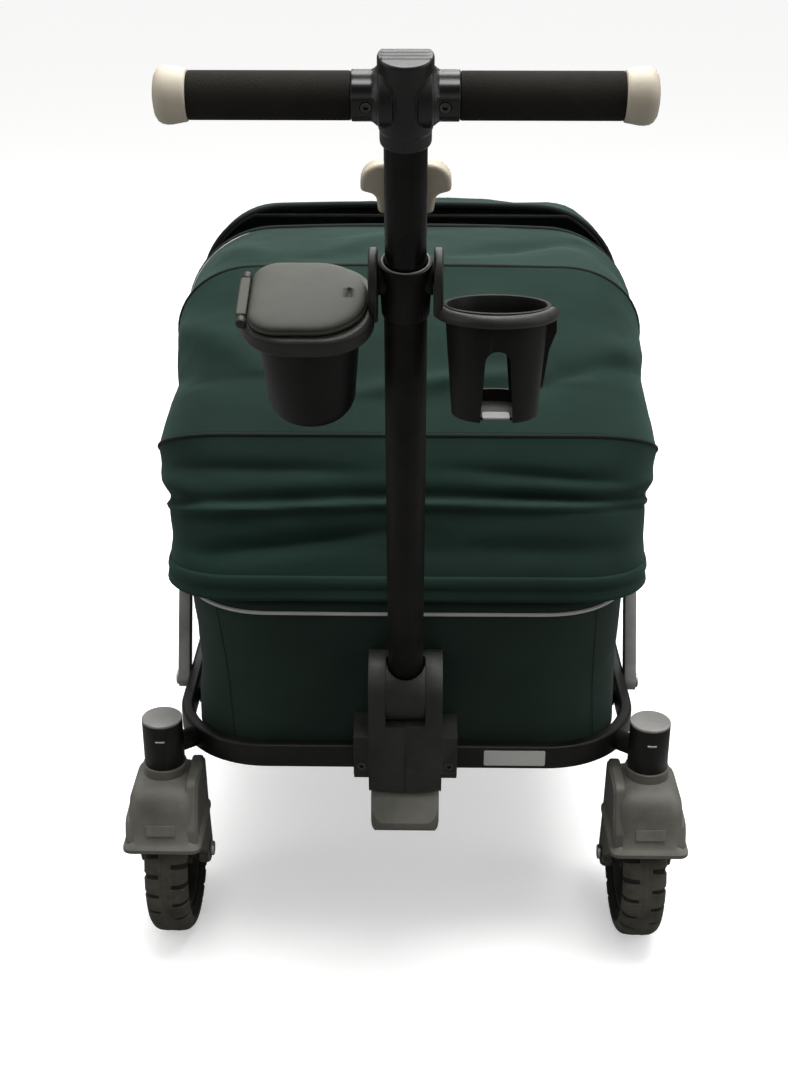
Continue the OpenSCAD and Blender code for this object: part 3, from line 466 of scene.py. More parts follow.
hood_cloth = make_cloth_finish("hood_cloth", (0.0036, 0.0160, 0.0112), sheen=0.08,
                               sheen_tint=(0.50, 0.90, 0.78))
basket_cloth = make_cloth_finish("basket_cloth", (0.0105, 0.0225, 0.0160), threads=700, sheen=0.06)
pad_cloth = make_cloth_finish("pad_cloth", (0.0200, 0.0400, 0.0330), threads=600, sheen=0.10)
# Near-black tape: the leading edge's own colour, and painted shade where the welts along the seams use it.
binding_and_seam_shade = make_cloth_finish("binding_tape_and_seam_shade", (0.0040, 0.0066, 0.0056), threads=500, sheen=0.05)
piping = make_cloth_finish("grey_piping", (0.42, 0.42, 0.40), threads=500, sheen=0.1,
                           sheen_tint=(1, 1, 1), patch_gain=0.1)
thread_finish = make_cloth_finish("sewing_thread", (0.0040, 0.0150, 0.0110), threads=900, sheen=0.0)
print("cloth finishes made")

# %% [markdown]
# ## Foam and rubber
#
# The grips are closed-cell foam: dark, dull and full of tiny pits. The tyres are a slightly lighter,
# dusty rubber, paler where it has been scuffed.

# %% Foam and tyre finishes
foam = make_hard_finish("foam", (0.0140, 0.0125, 0.0100), rough=0.92, grain=700, depth=0.85,
                        wear=0.0, patch_gain=0.12, specular=0.12)
tyre_rubber = make_hard_finish("tyre_rubber", (0.052, 0.0495, 0.0370), rough=0.80, grain=420,
                               depth=0.5, wear=0.7, worn=(0.085, 0.080, 0.066), patch_size=30.0,
                               patch_gain=0.35, specular=0.35)
# The rubber between the lugs is painted darker than the lugs: painted shade for the recesses of the tread.
groove_painted_shade = make_hard_finish("groove_painted_shade", (0.014, 0.0135, 0.0105), rough=0.85, grain=420,
                               depth=0.4, wear=0.0, patch_size=30.0, specular=0.2)
print("foam and rubber made")

# %% [markdown]
# ## Small shape tools
#
# Nearly every moulded piece here is a turned shape, a plate with rounded corners, or a tube along a
# path. These tools make those three, always with the finished piece's place in its own mesh.

# %% Outline with rounded corners
def rounded(corners, closed=True, steps=6):
    """Corner points (x, y, radius) become a list of points, each corner an arc."""
    points = []
    count = len(corners)
    for i, (x, y, radius) in enumerate(corners):
        here = Vector((x, y))
        if radius == 0 or (not closed and i in (0, count - 1)):
            points.append((x, y))
            continue
        before = (Vector(corners[i - 1][:2]) - here).normalized()
        after = (Vector(corners[(i + 1) % count][:2]) - here).normalized()
        half = before.angle(after) / 2
        reach = radius / math.tan(half)
        centre = here + (before + after).normalized() * (radius / math.sin(half))
        first = here + before * reach - centre
        last = here + after * reach - centre
        turn = first.angle_signed(last)
        for k in range(steps + 1):
            spun = first.copy()
            spun.rotate(Matrix.Rotation(-turn * k / steps, 2))
            points.append(tuple(centre + spun))
    return points


def new_piece(name, points, faces, material, place=None, smooth=True):
    mesh = bpy.data.meshes.new(name)
    mesh.from_pydata([tuple(p) for p in points], [], faces)
    if place is not None:
        mesh.transform(place)
    mesh.materials.append(material)
    if smooth:
        mesh.shade_smooth()
    piece = bpy.data.objects.new(name, mesh)
    bpy.context.scene.collection.objects.link(piece)
    return piece


MERGE_GAP = 1e-6


def recalculate(piece):
    shape = bmesh.new()
    shape.from_mesh(piece.data)
    bmesh.ops.remove_doubles(shape, verts=shape.verts, dist=MERGE_GAP)
    bmesh.ops.recalc_face_normals(shape, faces=shape.faces)
    shape.to_mesh(piece.data)
    shape.free()
    return piece


def apply_modifiers(piece):
    graph = bpy.context.evaluated_depsgraph_get()
    mesh = bpy.data.meshes.new_from_object(piece.evaluated_get(graph))
    piece.modifiers.clear()
    piece.data = mesh
    return piece


print("outline tool ready")

# %% Turned, plate and tube tools
def turned(name, profile, material, place, sides=64):
    """Spins (radius, height) points about the local Z axis. A radius of 0 closes a pole."""
    points, rings = [], []
    for radius, height in profile:
        if radius < 1e-7:
            rings.append([len(points)])
            points.append((0, 0, height))
            continue
        rings.append(list(range(len(points), len(points) + sides)))
        points += [(radius * math.cos(2 * math.pi * k / sides),
                    radius * math.sin(2 * math.pi * k / sides), height) for k in range(sides)]
    faces = []
    for low, high in zip(rings, rings[1:]):
        for k in range(sides):
            n = (k + 1) % sides
            quad = [low[k % len(low)], low[n % len(low)], high[n % len(high)], high[k % len(high)]]
            face = list(dict.fromkeys(quad))
            if len(face) > 2:
                faces.append(face)
    return recalculate(new_piece(name, points, faces, material, place))


def soften(piece, width, segments=3, angle=30, subdivide=0):
    bevel = piece.modifiers.new("soft_edges", "BEVEL")
    bevel.width = width
    bevel.segments = segments
    bevel.limit_method = "ANGLE"
    bevel.angle_limit = math.radians(angle)
    bevel.harden_normals = True
    if subdivide:
        more = piece.modifiers.new("rounder", "SUBSURF")
        more.levels = more.render_levels = subdivide
    return apply_modifiers(piece)


def plate(name, outline, low, high, material, place=None, edge=0.0015, segments=3, holes=()):
    """An outline (x, y) given a thickness from low to high along local Z, its rims softened."""
    shape = bmesh.new()
    loops = []
    for ring in [outline, *holes]:
        corners = [shape.verts.new((x, y, low)) for x, y in ring]
        loops.append([shape.edges.new((a, b)) for a, b in zip(corners, corners[1:] + corners[:1])])
    if holes:
        fill = bmesh.ops.triangle_fill(shape, use_beauty=True,
                                       edges=[e for loop in loops for e in loop])
        floor_faces = [g for g in fill["geom"] if isinstance(g, bmesh.types.BMFace)]
    else:
        floor_faces = [shape.faces.new([v for v in shape.verts])]
    grown = bmesh.ops.extrude_face_region(shape, geom=floor_faces)
    for v in grown["geom"]:
        if isinstance(v, bmesh.types.BMVert):
            v.co.z = high
    bmesh.ops.recalc_face_normals(shape, faces=shape.faces)
    mesh = bpy.data.meshes.new(name)
    shape.to_mesh(mesh)
    shape.free()
    if place is not None:
        mesh.transform(place)
    mesh.materials.append(material)
    mesh.shade_smooth()
    piece = bpy.data.objects.new(name, mesh)
    bpy.context.scene.collection.objects.link(piece)
    return soften(piece, edge, segments) if edge else piece


def tube(name, path, radius, material, closed=False, sides=10, squash=1.0):
    """A round tube along a list of points, with its ends closed."""
    line = [Vector(p) for p in path]
    count = len(line)
    points, rings = [], []
    up = None
    for i, here in enumerate(line):
        before = line[(i - 1) % count] if closed or i > 0 else here
        after = line[(i + 1) % count] if closed or i < count - 1 else here
        along = (after - before).normalized()
        if up is None:
            up = along.orthogonal().normalized()
        up = (up - along * up.dot(along)).normalized()
        side = along.cross(up)
        rings.append(list(range(len(points), len(points) + sides)))
        for k in range(sides):
            angle = 2 * math.pi * k / sides
            points.append(here + radius * (math.cos(angle) * up + squash * math.sin(angle) * side))
    pairs = list(zip(rings, rings[1:])) + ([(rings[-1], rings[0])] if closed else [])
    faces = [[a[k], a[(k + 1) % sides], b[(k + 1) % sides], b[k]]
             for a, b in pairs for k in range(sides)]
    if not closed:
        faces += [list(reversed(rings[0])), rings[-1]]
    piece = new_piece(name, points, faces, material)
    return recalculate(piece)


print("turned, plate and tube tools ready")

# %% [markdown]
# ## Metal and plastic from the frame
#
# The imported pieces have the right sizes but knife-sharp edges, and no real part has those. A copy of each
# is merged, its flat faces are joined, and its edges get a small rounded bevel that catches the light.

# %% Softened copies
def softened_copy(node, material, width=0.0008, segments=2, angle=32):
    source = frame["nodes"][node]
    mesh = source.data.copy()
    piece = bpy.data.objects.new(node + "_finished", mesh)
    bpy.context.scene.collection.objects.link(piece)
    shape = bmesh.new()
    shape.from_mesh(mesh)
    bmesh.ops.remove_doubles(shape, verts=shape.verts, dist=2e-6)
    bmesh.ops.dissolve_limit(shape, angle_limit=math.radians(0.6), verts=shape.verts,
                             edges=shape.edges, delimit={"NORMAL"})
    shape.to_mesh(mesh)
    shape.free()
    mesh.materials.clear()
    mesh.materials.append(material)
    mesh.shade_smooth()
    soften(piece, width, segments, angle)
    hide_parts(node)
    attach(piece, source["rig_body"])
    return piece


SOFTENED = {
    "ring_frame": ("black_tube", 0.0006), "corner_posts": ("black_tube", 0.0008),
    "post_caps": ("cap_plastic", 0.0010), "top_rail": ("black_tube", 0.0008),
    "rear_brake": ("pedal_plastic", 0.0012), "strut_pins": ("zinc", 0.0008),
    "hinge_pins": ("dark_steel", 0.0005), "rear_axles": ("zinc", 0.0010),
    "caster_axle_left": ("zinc", 0.0010), "caster_axle_right": ("zinc", 0.0010),
    "hood_pivots": ("black_plastic", 0.0015), "floor_board": ("board", 0.0010),
    "lower_pole": ("pole_coat", 0.0005), "upper_pole": ("gloss_tube", 0.0005),
    "cross_tube": ("gloss_tube", 0.0005), "handle_knuckle": ("housing_plastic", 0.0012),
    "accessory_collar": ("black_plastic", 0.0010),
    "hinge_housing_left": ("housing_plastic", 0.0016),
    "hinge_housing_right": ("housing_plastic", 0.0016), "foot_pedal": ("pedal_plastic", 0.0022),
    "front_struts": ("strut_plastic", 0.0025), "rear_struts": ("strut_plastic", 0.0025),
    "near_bow_1": ("black_plastic", 0.0005), "near_bow_2": ("black_plastic", 0.0005),
    "near_bow_3": ("black_plastic", 0.0005), "far_bow_1": ("black_plastic", 0.0005),
    "far_bow_2": ("black_plastic", 0.0005), "far_bow_3": ("black_plastic", 0.0005),
    "rim_front_left": ("wheel_plastic", 0.0010), "rim_front_right": ("wheel_plastic", 0.0010),
    "rim_rear_left": ("wheel_plastic", 0.0010), "rim_rear_right": ("wheel_plastic", 0.0010),
}
softened = {node: softened_copy(node, hard[finish], width)
            for node, (finish, width) in SOFTENED.items()}
print("softened", len(softened), "pieces,",
      sum(len(p.data.polygons) for p in softened.values()), "faces")

# %% Small steel pieces keep the frame's own mesh
for node, finish_name in (("swivel_bearings", "zinc"), ("housing_screws", "dark_steel"),
                          ("pedal_spring", "dark_steel"), ("hub_screws", "dark_steel")):
    mesh = frame["nodes"][node].data
    mesh.materials.clear()
    mesh.materials.append(hard[finish_name])
print("small steel pieces finished")

# %% [markdown]
# The trigger's spring has to shorten when the trigger is pulled. Here it is a softened copy of the frame's
# spring, with a mesh of its own.


def joint(name):
    return next(j for j in frame["joints"] if j["name"] == name)


trigger_spring = softened_copy("trigger_spring", hard["zinc"], 0.0001, 1, 60)
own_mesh(trigger_spring)

# %% [markdown]
# ## The hoods
#
# Each hood is a fan of cloth sewn over three bows that turn on one pivot line. Cloth pulled tight between
# two bows doesn't bulge: it runs straight from bow to bow and dips a little between them. So the hood is
# one formula. It takes how far along the bow a point lies and how far the fan has turned, gives the bow's
# outline at that turn, and draws it in between the bows. Each span is its own sheet, because the bows
# fold over one another, and each sheet bends from one bow to the next.

# %% Hood measures
RAIL_LOW, RAIL_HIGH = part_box("top_rail")
RAIL_RADIUS = 0.011
RAIL_LEVEL = RAIL_HIGH.z - RAIL_RADIUS
BOW_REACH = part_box("near_bow_3")[1].z - joint("near_hood_fold")["pos_m"][2]
HOOD_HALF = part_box("near_cloth_3")[1].x
BOW_ANGLES = (31.5, 71.0, 90.0)
SKIRT_TURN = 1.1
CLOTH_THICK = 0.0016
# (turn in degrees, half width in metres): the cloth is widest where the lowest bow holds it out
HALF_WIDTHS = [(-4.0, 0.2725), (6.0, 0.2725), (16.0, 0.2745), (24.0, 0.2795), (31.5, 0.2840),
               (38.0, 0.2815), (50.0, 0.2765), (71.0, 0.2755), (90.0, 0.2745)]
# (turn, corner radius) and (turn, rise at the middle): the upper bows are rounder than the lowest
CORNERS = [(-4.0, 0.0780), (31.5, 0.0800), (71.0, 0.0930), (90.0, 0.1050)]
CROWNS = [(-4.0, 0.0), (31.5, 0.0030), (71.0, 0.0060), (90.0, 0.0085)]
BOW_CORNER = 0.067


def at_turn(table, turn):
    return float(np.interp(math.degrees(turn), *zip(*table)))


def round_bow(piece, side, turn):
    """Moves a bow's corners in to the cloth's rounder line, and lifts its middle to the crown."""
    pivot = joint("near_hood_fold" if side > 0 else "far_hood_fold")["pos_m"]
    forward, up = -side * math.cos(turn), math.sin(turn)
    radius, crown = at_turn(CORNERS, turn) + 0.002, at_turn(CROWNS, turn)
    reach, half = BOW_REACH, HOOD_HALF
    for vertex in piece.data.vertices:
        y, z = vertex.co.y - pivot[1], vertex.co.z - pivot[2]
        out = y * forward + z * up
        rest = (y - out * forward, z - out * up)
        across = vertex.co.x
        a, b = abs(across) - (half - radius), out - (reach - radius)
        if a > 0 and b > 0:
            long = math.hypot(a, b)
            dx, dy = a / long, b / long
            corner = radius - BOW_CORNER
            toward = (dx + dy) * corner
            edge = min(radius / max(dx, 1e-6), radius / max(dy, 1e-6))
            inside = toward ** 2 - 2 * corner ** 2 + BOW_CORNER ** 2
            if inside > 0 and min(dx, dy) * edge > corner:
                edge = toward + math.sqrt(inside)
            scale = radius / edge
            across = math.copysign(half - radius + a * scale, across)
            out = reach - radius + b * scale
        out += crown * max(0.0, 1 - (across / half) ** 2) * min(1.0, max(0.0, out / reach * 3 - 2))
        vertex.co = (across, pivot[1] + out * forward + rest[0], pivot[2] + out * up + rest[1])
    piece.data.update()


def hood_line(reach, half, corner, inner, count=96):
    """The bow's outline as (across, out) points, evenly spaced, from the left pivot to the right."""
    line = [(-half, inner)]
    line += rounded([(-half, inner, 0), (-half, reach, corner), (half, reach, corner),
                     (half, inner, 0)], closed=False, steps=14)[1:-1]
    line += [(half, inner)]
    line = np.array(line)
    steps = np.concatenate([[0], np.cumsum(np.linalg.norm(np.diff(line, axis=0), axis=1))])
    even = np.linspace(0, steps[-1], count)
    return np.stack([np.interp(even, steps, line[:, 0]), np.interp(even, steps, line[:, 1])], axis=1)


print("bow reach", round(BOW_REACH, 4), "hood half width", round(HOOD_HALF, 4))

# %% [markdown]
# The folds are drawn in three ways. A fine crumple, taken from a fixed noise, covers everything. Creases
# run from the bows' corners towards the middle, where the cloth is pulled. The lowest span hangs slack,
# so it carries one deep level fold under a ridge, and a fainter one below. Creases and level folds fade
# out towards the hood's sides, where the cloth lies tight over the bows.

# %% Fold pattern
def crease(u, v, start, end, width, depth, sharp=1.6):
    """A fold between two points of the sheet: deepest on its line, fading to its sides and ends."""
    start, end = np.array(start), np.array(end)
    along = end - start
    t = ((u - start[0]) * along[0] + (v - start[1]) * along[1]) / (along @ along)
    near = np.clip(t, 0, 1)
    gap = np.hypot(u - start[0] - near * along[0], (v - start[1] - near * along[1]))
    fade = np.clip(1.2 - abs(t - 0.5) * 1.6, 0, 1)
    return depth * fade * np.exp(-(gap / width) ** sharp)


def crumple(point, scale, seed):
    return noise.noise(Vector(point) * scale + Vector((seed, 2.0 * seed, 0.5)))


CREASE_SPREAD, CREASE_GAIN = 1.6, 2.1
SIDE_CALM, CALM_FROM, CALM_OVER = 0.88, 0.35, 0.30
# level folds of the lowest span: how high or deep, where up the span, and how wide
RIDGE_HIGH, RIDGE_ABOVE, RIDGE_WIDE = 0.0030, 0.055, 0.045
GROOVE_DEEP, GROOVE_AT, GROOVE_WIDE = 0.0042, 0.56, 0.020
FAINT_HIGH, FAINT_AT, FAINT_WIDE = 0.0011, 0.30, 0.07
CREASES = {
    1: [((0.16, 0.95), (0.30, 0.55), 0.020, -0.0060), ((0.12, 0.85), (0.22, 0.62), 0.018, 0.0050),
        ((0.87, 0.92), (0.70, 0.62), 0.020, -0.0050), ((0.80, 0.55), (0.60, 0.62), 0.022, 0.0040),
        ((0.30, 0.25), (0.48, 0.42), 0.028, 0.0060), ((0.55, 0.80), (0.74, 0.70), 0.025, 0.0035),
        ((0.25, 0.80), (0.45, 0.78), 0.030, 0.0035), ((0.93, 0.80), (0.84, 0.30), 0.018, -0.0040),
        ((0.06, 0.80), (0.15, 0.30), 0.018, -0.0040)],
    2: [((0.20, 0.95), (0.34, 0.35), 0.020, -0.0055), ((0.17, 0.60), (0.27, 0.30), 0.018, 0.0045),
        ((0.83, 0.90), (0.68, 0.30), 0.022, -0.0055), ((0.79, 0.55), (0.60, 0.20), 0.020, 0.0045),
        ((0.42, 0.20), (0.62, 0.34), 0.025, -0.0040), ((0.36, 0.80), (0.44, 0.20), 0.022, 0.0035),
        ((0.56, 0.90), (0.60, 0.45), 0.022, -0.0030), ((0.88, 0.70), (0.80, 0.10), 0.016, -0.0045),
        ((0.10, 0.85), (0.17, 0.20), 0.016, -0.0040)],
    3: [((0.24, 0.90), (0.34, 0.10), 0.020, -0.0030), ((0.70, 0.95), (0.82, 0.30), 0.020, -0.0035),
        ((0.56, 0.20), (0.70, 0.75), 0.022, 0.0030), ((0.40, 0.20), (0.50, 0.80), 0.022, -0.0025)],
}
print("creases:", {span: len(rows) for span, rows in CREASES.items()})

# %% [markdown]
# A span is laid out as a grid. Across the grid runs the bow's outline, and up the grid the fan turns from
# one bow to the next. Every grid point is pulled in by the tension between the bows, then moved along the
# cloth's normal by the folds. The UV map keeps the distances of the flat cloth, for the weave.

# %% One span of hood cloth
def fan_point(side, across, out, turn, pivot):
    """A point of the hood: out from the pivot line at that turn above level, on the near or far side."""
    return Vector((across, pivot[1] - side * out * math.cos(turn), pivot[2] + out * math.sin(turn)))


def span_grid(side, span, low, high, rows, seed, mirror_folds):
    pivot = joint("near_hood_fold" if side > 0 else "far_hood_fold")["pos_m"]
    grid = []
    for r in range(rows + 1):
        v = r / rows
        turn = low + (high - low) * v
        reach = BOW_REACH + 0.0012
        straight = math.cos((high - low) / 2) / math.cos(turn - (low + high) / 2)
        slack = math.sin(math.pi * v)
        draw = 0.80
        if span == 1:
            reach = (BOW_REACH + 0.022) * (1 - v) + BOW_REACH * v + 0.002
            draw = 0.55
        half = at_turn(HALF_WIDTHS, turn)
        pull = 1 - (1 - straight) * draw
        line = hood_line(reach * pull, half - 0.004 * slack, at_turn(CORNERS, turn), 0.030)
        line[:, 1] += (at_turn(CROWNS, turn) * (1 - (line[:, 0] / half) ** 2)
                       * np.clip(line[:, 1] / reach * 3 - 2, 0, 1))
        count = len(line)
        u = np.linspace(0, 1, count)
        uu = 1 - u if mirror_folds else u
        fold = np.zeros(count)
        for start, end, width, depth in CREASES[span]:
            fold += crease(uu, np.full(count, v), start, end, width * CREASE_SPREAD, depth)
        ends = 1 - SIDE_CALM * np.clip((np.abs(2 * u - 1) - CALM_FROM) / CALM_OVER, 0, 1)
        fold *= ends
        hold = min(1.0, 4.5 * v * (1 - v) + 0.04)
        if span == 1:
            hold = min(1.0, 3.5 * (1 - v) + 0.03) * min(1.0, 6 * v + 0.15)
            level = GROOVE_AT + 0.02 * np.sin(7 * u + seed) + 0.012 * np.sin(17 * u)
            fold += RIDGE_HIGH * ends * np.exp(-((v - level - RIDGE_ABOVE) / RIDGE_WIDE) ** 2)
            fold -= GROOVE_DEEP * ends * np.exp(-((v - level) / GROOVE_WIDE) ** 2)
            faint = np.exp(-((v - FAINT_AT) / FAINT_WIDE) ** 2)
            fold += FAINT_HIGH * ends * faint * (1 + np.sin(13 * u + 2 * seed))
        row = []
        for k, (across, out) in enumerate(line):
            point = fan_point(side, across, out, turn, pivot)
            rough = 0.0030 * crumple(point, 9, seed) + 0.0016 * crumple(point, 24, seed)
            rough += 0.0007 * crumple(point, 60, seed)
            row.append((point, (fold[k] * CREASE_GAIN + rough) * hold))
        grid.append(row)
    return grid


def grid_piece(name, grid, material, flip=False, closed=False):
    """A grid of (point, push) rows becomes a mesh whose points are pushed along their own normals.

    A closed grid ends on its first column again, and the two are merged so that no seam shows."""
    rows, count = len(grid), len(grid[0])
    points = [p for row in grid for p, _ in row]
    pushes = [d for row in grid for _, d in row]
    faces = []
    for r in range(rows - 1):
        for k in range(count - 1):
            a = r * count + k
            quad = [a, a + 1, a + count + 1, a + count]
            faces.append(quad[::-1] if flip else quad)
    piece = new_piece(name, points, faces, material)
    mesh = piece.data
    normals = [v.normal.copy() for v in mesh.vertices]
    if closed:
        for r in range(rows):
            first, last = r * count, r * count + count - 1
            shared = (normals[first] + normals[last]).normalized()
            normals[first] = normals[last] = shared
    lengths = np.zeros((rows, count, 2))
    for r in range(rows):
        for k in range(count):
            here = grid[r][k][0]
            if k:
                lengths[r, k, 0] = lengths[r, k - 1, 0] + (here - grid[r][k - 1][0]).length
            if r:
                lengths[r, k, 1] = lengths[r - 1, k, 1] + (here - grid[r - 1][k][0]).length
    cloth = mesh.uv_layers.new(name="cloth")
    for loop in mesh.loops:
        r, k = divmod(loop.vertex_index, count)
        cloth.data[loop.index].uv = lengths[r, k]
    for vertex, normal, push in zip(mesh.vertices, normals, pushes):
        vertex.co += normal * push
    if closed:
        shape = bmesh.new()
        shape.from_mesh(mesh)
        bmesh.ops.remove_doubles(shape, verts=shape.verts, dist=MERGE_GAP)
        shape.to_mesh(mesh)
        shape.free()
    mesh.update()
    return piece


def thicken(piece, thickness, offset=-1.0):
    wall = piece.modifiers.new("cloth_thickness", "SOLIDIFY")
    wall.thickness = thickness
    wall.offset = offset
    return apply_modifiers(piece)


print("span tools ready")

# %% Sew the hoods
def sew_span(side, span, seed):
    name = "near" if side > 0 else "far"
    low = math.radians(SKIRT_TURN if span == 1 else BOW_ANGLES[span - 2])
    high = math.radians(BOW_ANGLES[span - 1])
    rows = {1: 54, 2: 60, 3: 36}[span]
    grid = span_grid(side, span, low, high, rows, seed, mirror_folds=side < 0)
    piece = grid_piece(f"{name}_hood_span_{span}", grid, hood_cloth, flip=side > 0)
    thicken(piece, CLOTH_THICK)
    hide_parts(f"{name}_cloth_{span}")
    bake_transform(piece)
    return piece, grid


for side, name in ((1, "near"), (-1, "far")):
    for number, angle in enumerate(BOW_ANGLES, 1):
        round_bow(softened[f"{name}_bow_{number}"], side, math.radians(angle))
hoods = {(side, span): sew_span(side, span, seed=span * 3 + (0 if side > 0 else 11))
         for side in (1, -1) for span in (1, 2, 3)}

# %% [markdown]
# ## Seams, bindings and piping
#
# A covered welt runs along each bow, where two cloth spans are sewn together. The welts are coloured
# near-black: painted shade for the dark line under each seam's overlap. The leading edge of each hood is
# bound in a wide dark tape with a thin light piping beside it, and the skirt ends in a folded hem.

# %% Welts and bindings
def grid_row(grid, row, lift=0.0, trim=2):
    """Points along one row of a hood span, moved outwards by lift."""
    points = [p for p, _ in grid[row]][trim:len(grid[row]) - trim]
    middle = Vector(points[len(points) // 2])
    centre = Vector((0, 0, middle.z)) + Vector((0, middle.y * 0.4, 0))
    return [p + (p - centre).normalized() * lift for p in points]


def add_trim(name, path, radius, material, body, squash=1.0, sides=10):
    piece = tube(name, path, radius, material, sides=sides, squash=squash)
    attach(piece, body)
    return piece


for side, name in ((1, "near"), (-1, "far")):
    grid = {span: hoods[(side, span)][1] for span in (1, 2, 3)}
    for span in (1, 2):
        # The welts take the near-black tape colour, as painted shade along each seam's overlap.
        add_trim(f"{name}_welt_{span}", grid_row(grid[span], -1, 0.0008), 0.0026, binding_and_seam_shade,
                 f"{name}_bow_{span}")
    add_trim(f"{name}_leading_binding", grid_row(grid[3], -1, -0.0016), 0.0048, binding_and_seam_shade,
             f"{name}_bow_3", squash=0.75)
    add_trim(f"{name}_leading_piping", grid_row(grid[3], -3, 0.0016), 0.0012, piping,
             f"{name}_bow_3")
print("welts and bindings sewn")

# %% [markdown]
# The hem is a folded band of the same cloth, a little proud of the skirt, that hides the upper rail. It
# follows the skirt's lowest rows, so it is built from the same grid.

# %% Hems
HEM_ROWS = 8
HEM_PROUD, HEM_SAG, HEM_TUCK, HEM_THICK = 0.0016, 0.004, 0.017, 0.0022


def sew_hem(side):
    name = "near" if side > 0 else "far"
    grid = hoods[(side, 1)][1]
    pivot = joint(name + "_hood_fold")["pos_m"]
    rows = []
    for r in range(HEM_ROWS + 1):
        row = []
        for k, (point, push) in enumerate(grid[r]):
            sag = HEM_SAG * math.sin(math.pi * r / HEM_ROWS)
            across = math.copysign(1, point.x) if abs(point.x) > 0.2 else point.x / 0.2
            out = Vector((across * 0.6, -side * 0.8 if abs(point.y - pivot[1]) > 0.1 else 0, 0))
            tuck = HEM_TUCK * ((HEM_ROWS - r) / HEM_ROWS) ** 1.7
            row.append((point + out.normalized() * (HEM_PROUD + sag - tuck), push))
        rows.append(row)
    piece = grid_piece(f"{name}_hem", rows, hood_cloth, flip=side > 0)
    thicken(piece, HEM_THICK)
    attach(piece, "upper_frame")


for side in (1, -1):
    sew_hem(side)
print("hems sewn")

# %% [markdown]
# ## The basket
#
# The basket hangs from the upper rail, which runs in a sleeve of the same cloth. Its walls follow the rail
# at the top and the ring's inside at the bottom, and their foot turns in a little. They don't follow the
# rail as it swings along the wagon, so their top edge parts from it at a deep fold.

# %% Plan outlines
def plan_outline(half_x, half_y, radius, centre_y, count=220):
    corners = [(half_x, -half_y, radius), (half_x, half_y, radius), (-half_x, half_y, radius),
               (-half_x, -half_y, radius)]
    line = np.array(rounded(corners, steps=16))
    line = np.vstack([line, line[:1]])
    steps = np.concatenate([[0], np.cumsum(np.linalg.norm(np.diff(line, axis=0), axis=1))])
    even = np.linspace(0, steps[-1], count + 1)[:-1]
    x = np.interp(even, steps, line[:, 0])
    y = np.interp(even, steps, line[:, 1]) + centre_y
    return [Vector((a, b)) for a, b in zip(x, y)]


RING_LOW, RING_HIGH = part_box("ring_frame")
BASKET_LOW, BASKET_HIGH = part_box("basket")
MIDDLE_Y = (RING_LOW.y + RING_HIGH.y) / 2
rail_half_x = (BASKET_HIGH.x - BASKET_LOW.x) / 2
rail_half_y = (RAIL_HIGH.y - RAIL_LOW.y) / 2 - RAIL_RADIUS
WALL_WIDER, WALL_LONGER = 0.0095, 0.0090
RAIL_CORNER, FOOT_CORNER, TOP_CORNER = 0.092, 0.090, 0.102
basket_half_x = BASKET_HIGH.x + WALL_WIDER
basket_half_y = (BASKET_HIGH.y - BASKET_LOW.y) / 2 + WALL_LONGER
rail_line = plan_outline(rail_half_x, rail_half_y, RAIL_CORNER, MIDDLE_Y)
basket_line = plan_outline(basket_half_x, basket_half_y, FOOT_CORNER, MIDDLE_Y)
top_line = plan_outline(rail_half_x + RAIL_RADIUS, rail_half_y + RAIL_RADIUS, TOP_CORNER, MIDDLE_Y)
print("rail outline", round(rail_half_x, 3), round(rail_half_y, 3))


# %% Basket walls
WALL_SAG, WALL_THICK = 0.005, 0.0030
PUFF_LIMIT, PUFF_INSET = 0.0040, 0.0018


def basket_grid(rows=44):
    low, high = BASKET_LOW.z + 0.001, RAIL_LEVEL - 0.004
    turn = 0.005
    grid = []
    for r in range(rows + 1):
        v = r / rows
        row = []
        for k in range(len(rail_line)):
            base, top = basket_line[k], top_line[k]
            z = low + (high - low) * v
            tuck = 0.0
            if z < low + turn:
                tuck = turn - math.sqrt(max(0.0, turn ** 2 - (low + turn - z) ** 2))
            flat = base.lerp(top, v)
            centre = Vector((0, MIDDLE_Y))
            inward = (centre - flat).normalized()
            flat = flat + inward * (tuck + WALL_SAG * math.sin(math.pi * v))
            point = Vector((flat.x, flat.y, z))
            rough = 0.0070 * crumple(point, 6, 5) + 0.0040 * crumple(point, 17, 7)
            rough += 0.0008 * crumple(point, 60, 9)
            rough = PUFF_LIMIT * math.tanh(rough / PUFF_LIMIT) - PUFF_INSET
            row.append((point, rough * math.sin(math.pi * min(1.0, v + 0.08)) - 0.0005))
        row.append(row[0])
        grid.append(row)
    return grid


walls_grid = basket_grid()
basket_walls = grid_piece("basket_walls", walls_grid, basket_cloth, closed=True)
thicken(basket_walls, WALL_THICK)
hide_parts("basket")
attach(basket_walls, "base")
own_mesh(basket_walls)

# %% Rail sleeve and its piping
sleeve_path = [Vector((p.x, p.y, RAIL_LEVEL)) for p in rail_line]
sleeve = tube("rail_sleeve", sleeve_path, RAIL_RADIUS + 0.0022, basket_cloth, closed=True, sides=16)
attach(sleeve, "upper_frame")
drop = 0.0045
outside = [p + (p - Vector((0, MIDDLE_Y, p.z))).normalized() * (RAIL_RADIUS + 0.0028)
           - Vector((0, 0, drop)) for p in sleeve_path]
zip_piping = tube("sleeve_piping", outside, 0.0022, piping, closed=True, sides=8)
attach(zip_piping, "upper_frame")
print("sleeve and piping made")

# %% Basket floor cloth
floor_points = [Vector((p.x * 0.95, MIDDLE_Y + (p.y - MIDDLE_Y) * 0.97, BASKET_LOW.z + 0.0012))
                for p in basket_line]
basket_floor = new_piece("basket_floor", floor_points, [list(range(len(floor_points)))],
                         basket_cloth)
basket_floor.data.uv_layers.new(name="cloth")
thicken(basket_floor, 0.002, offset=1.0)
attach(basket_floor, "base")

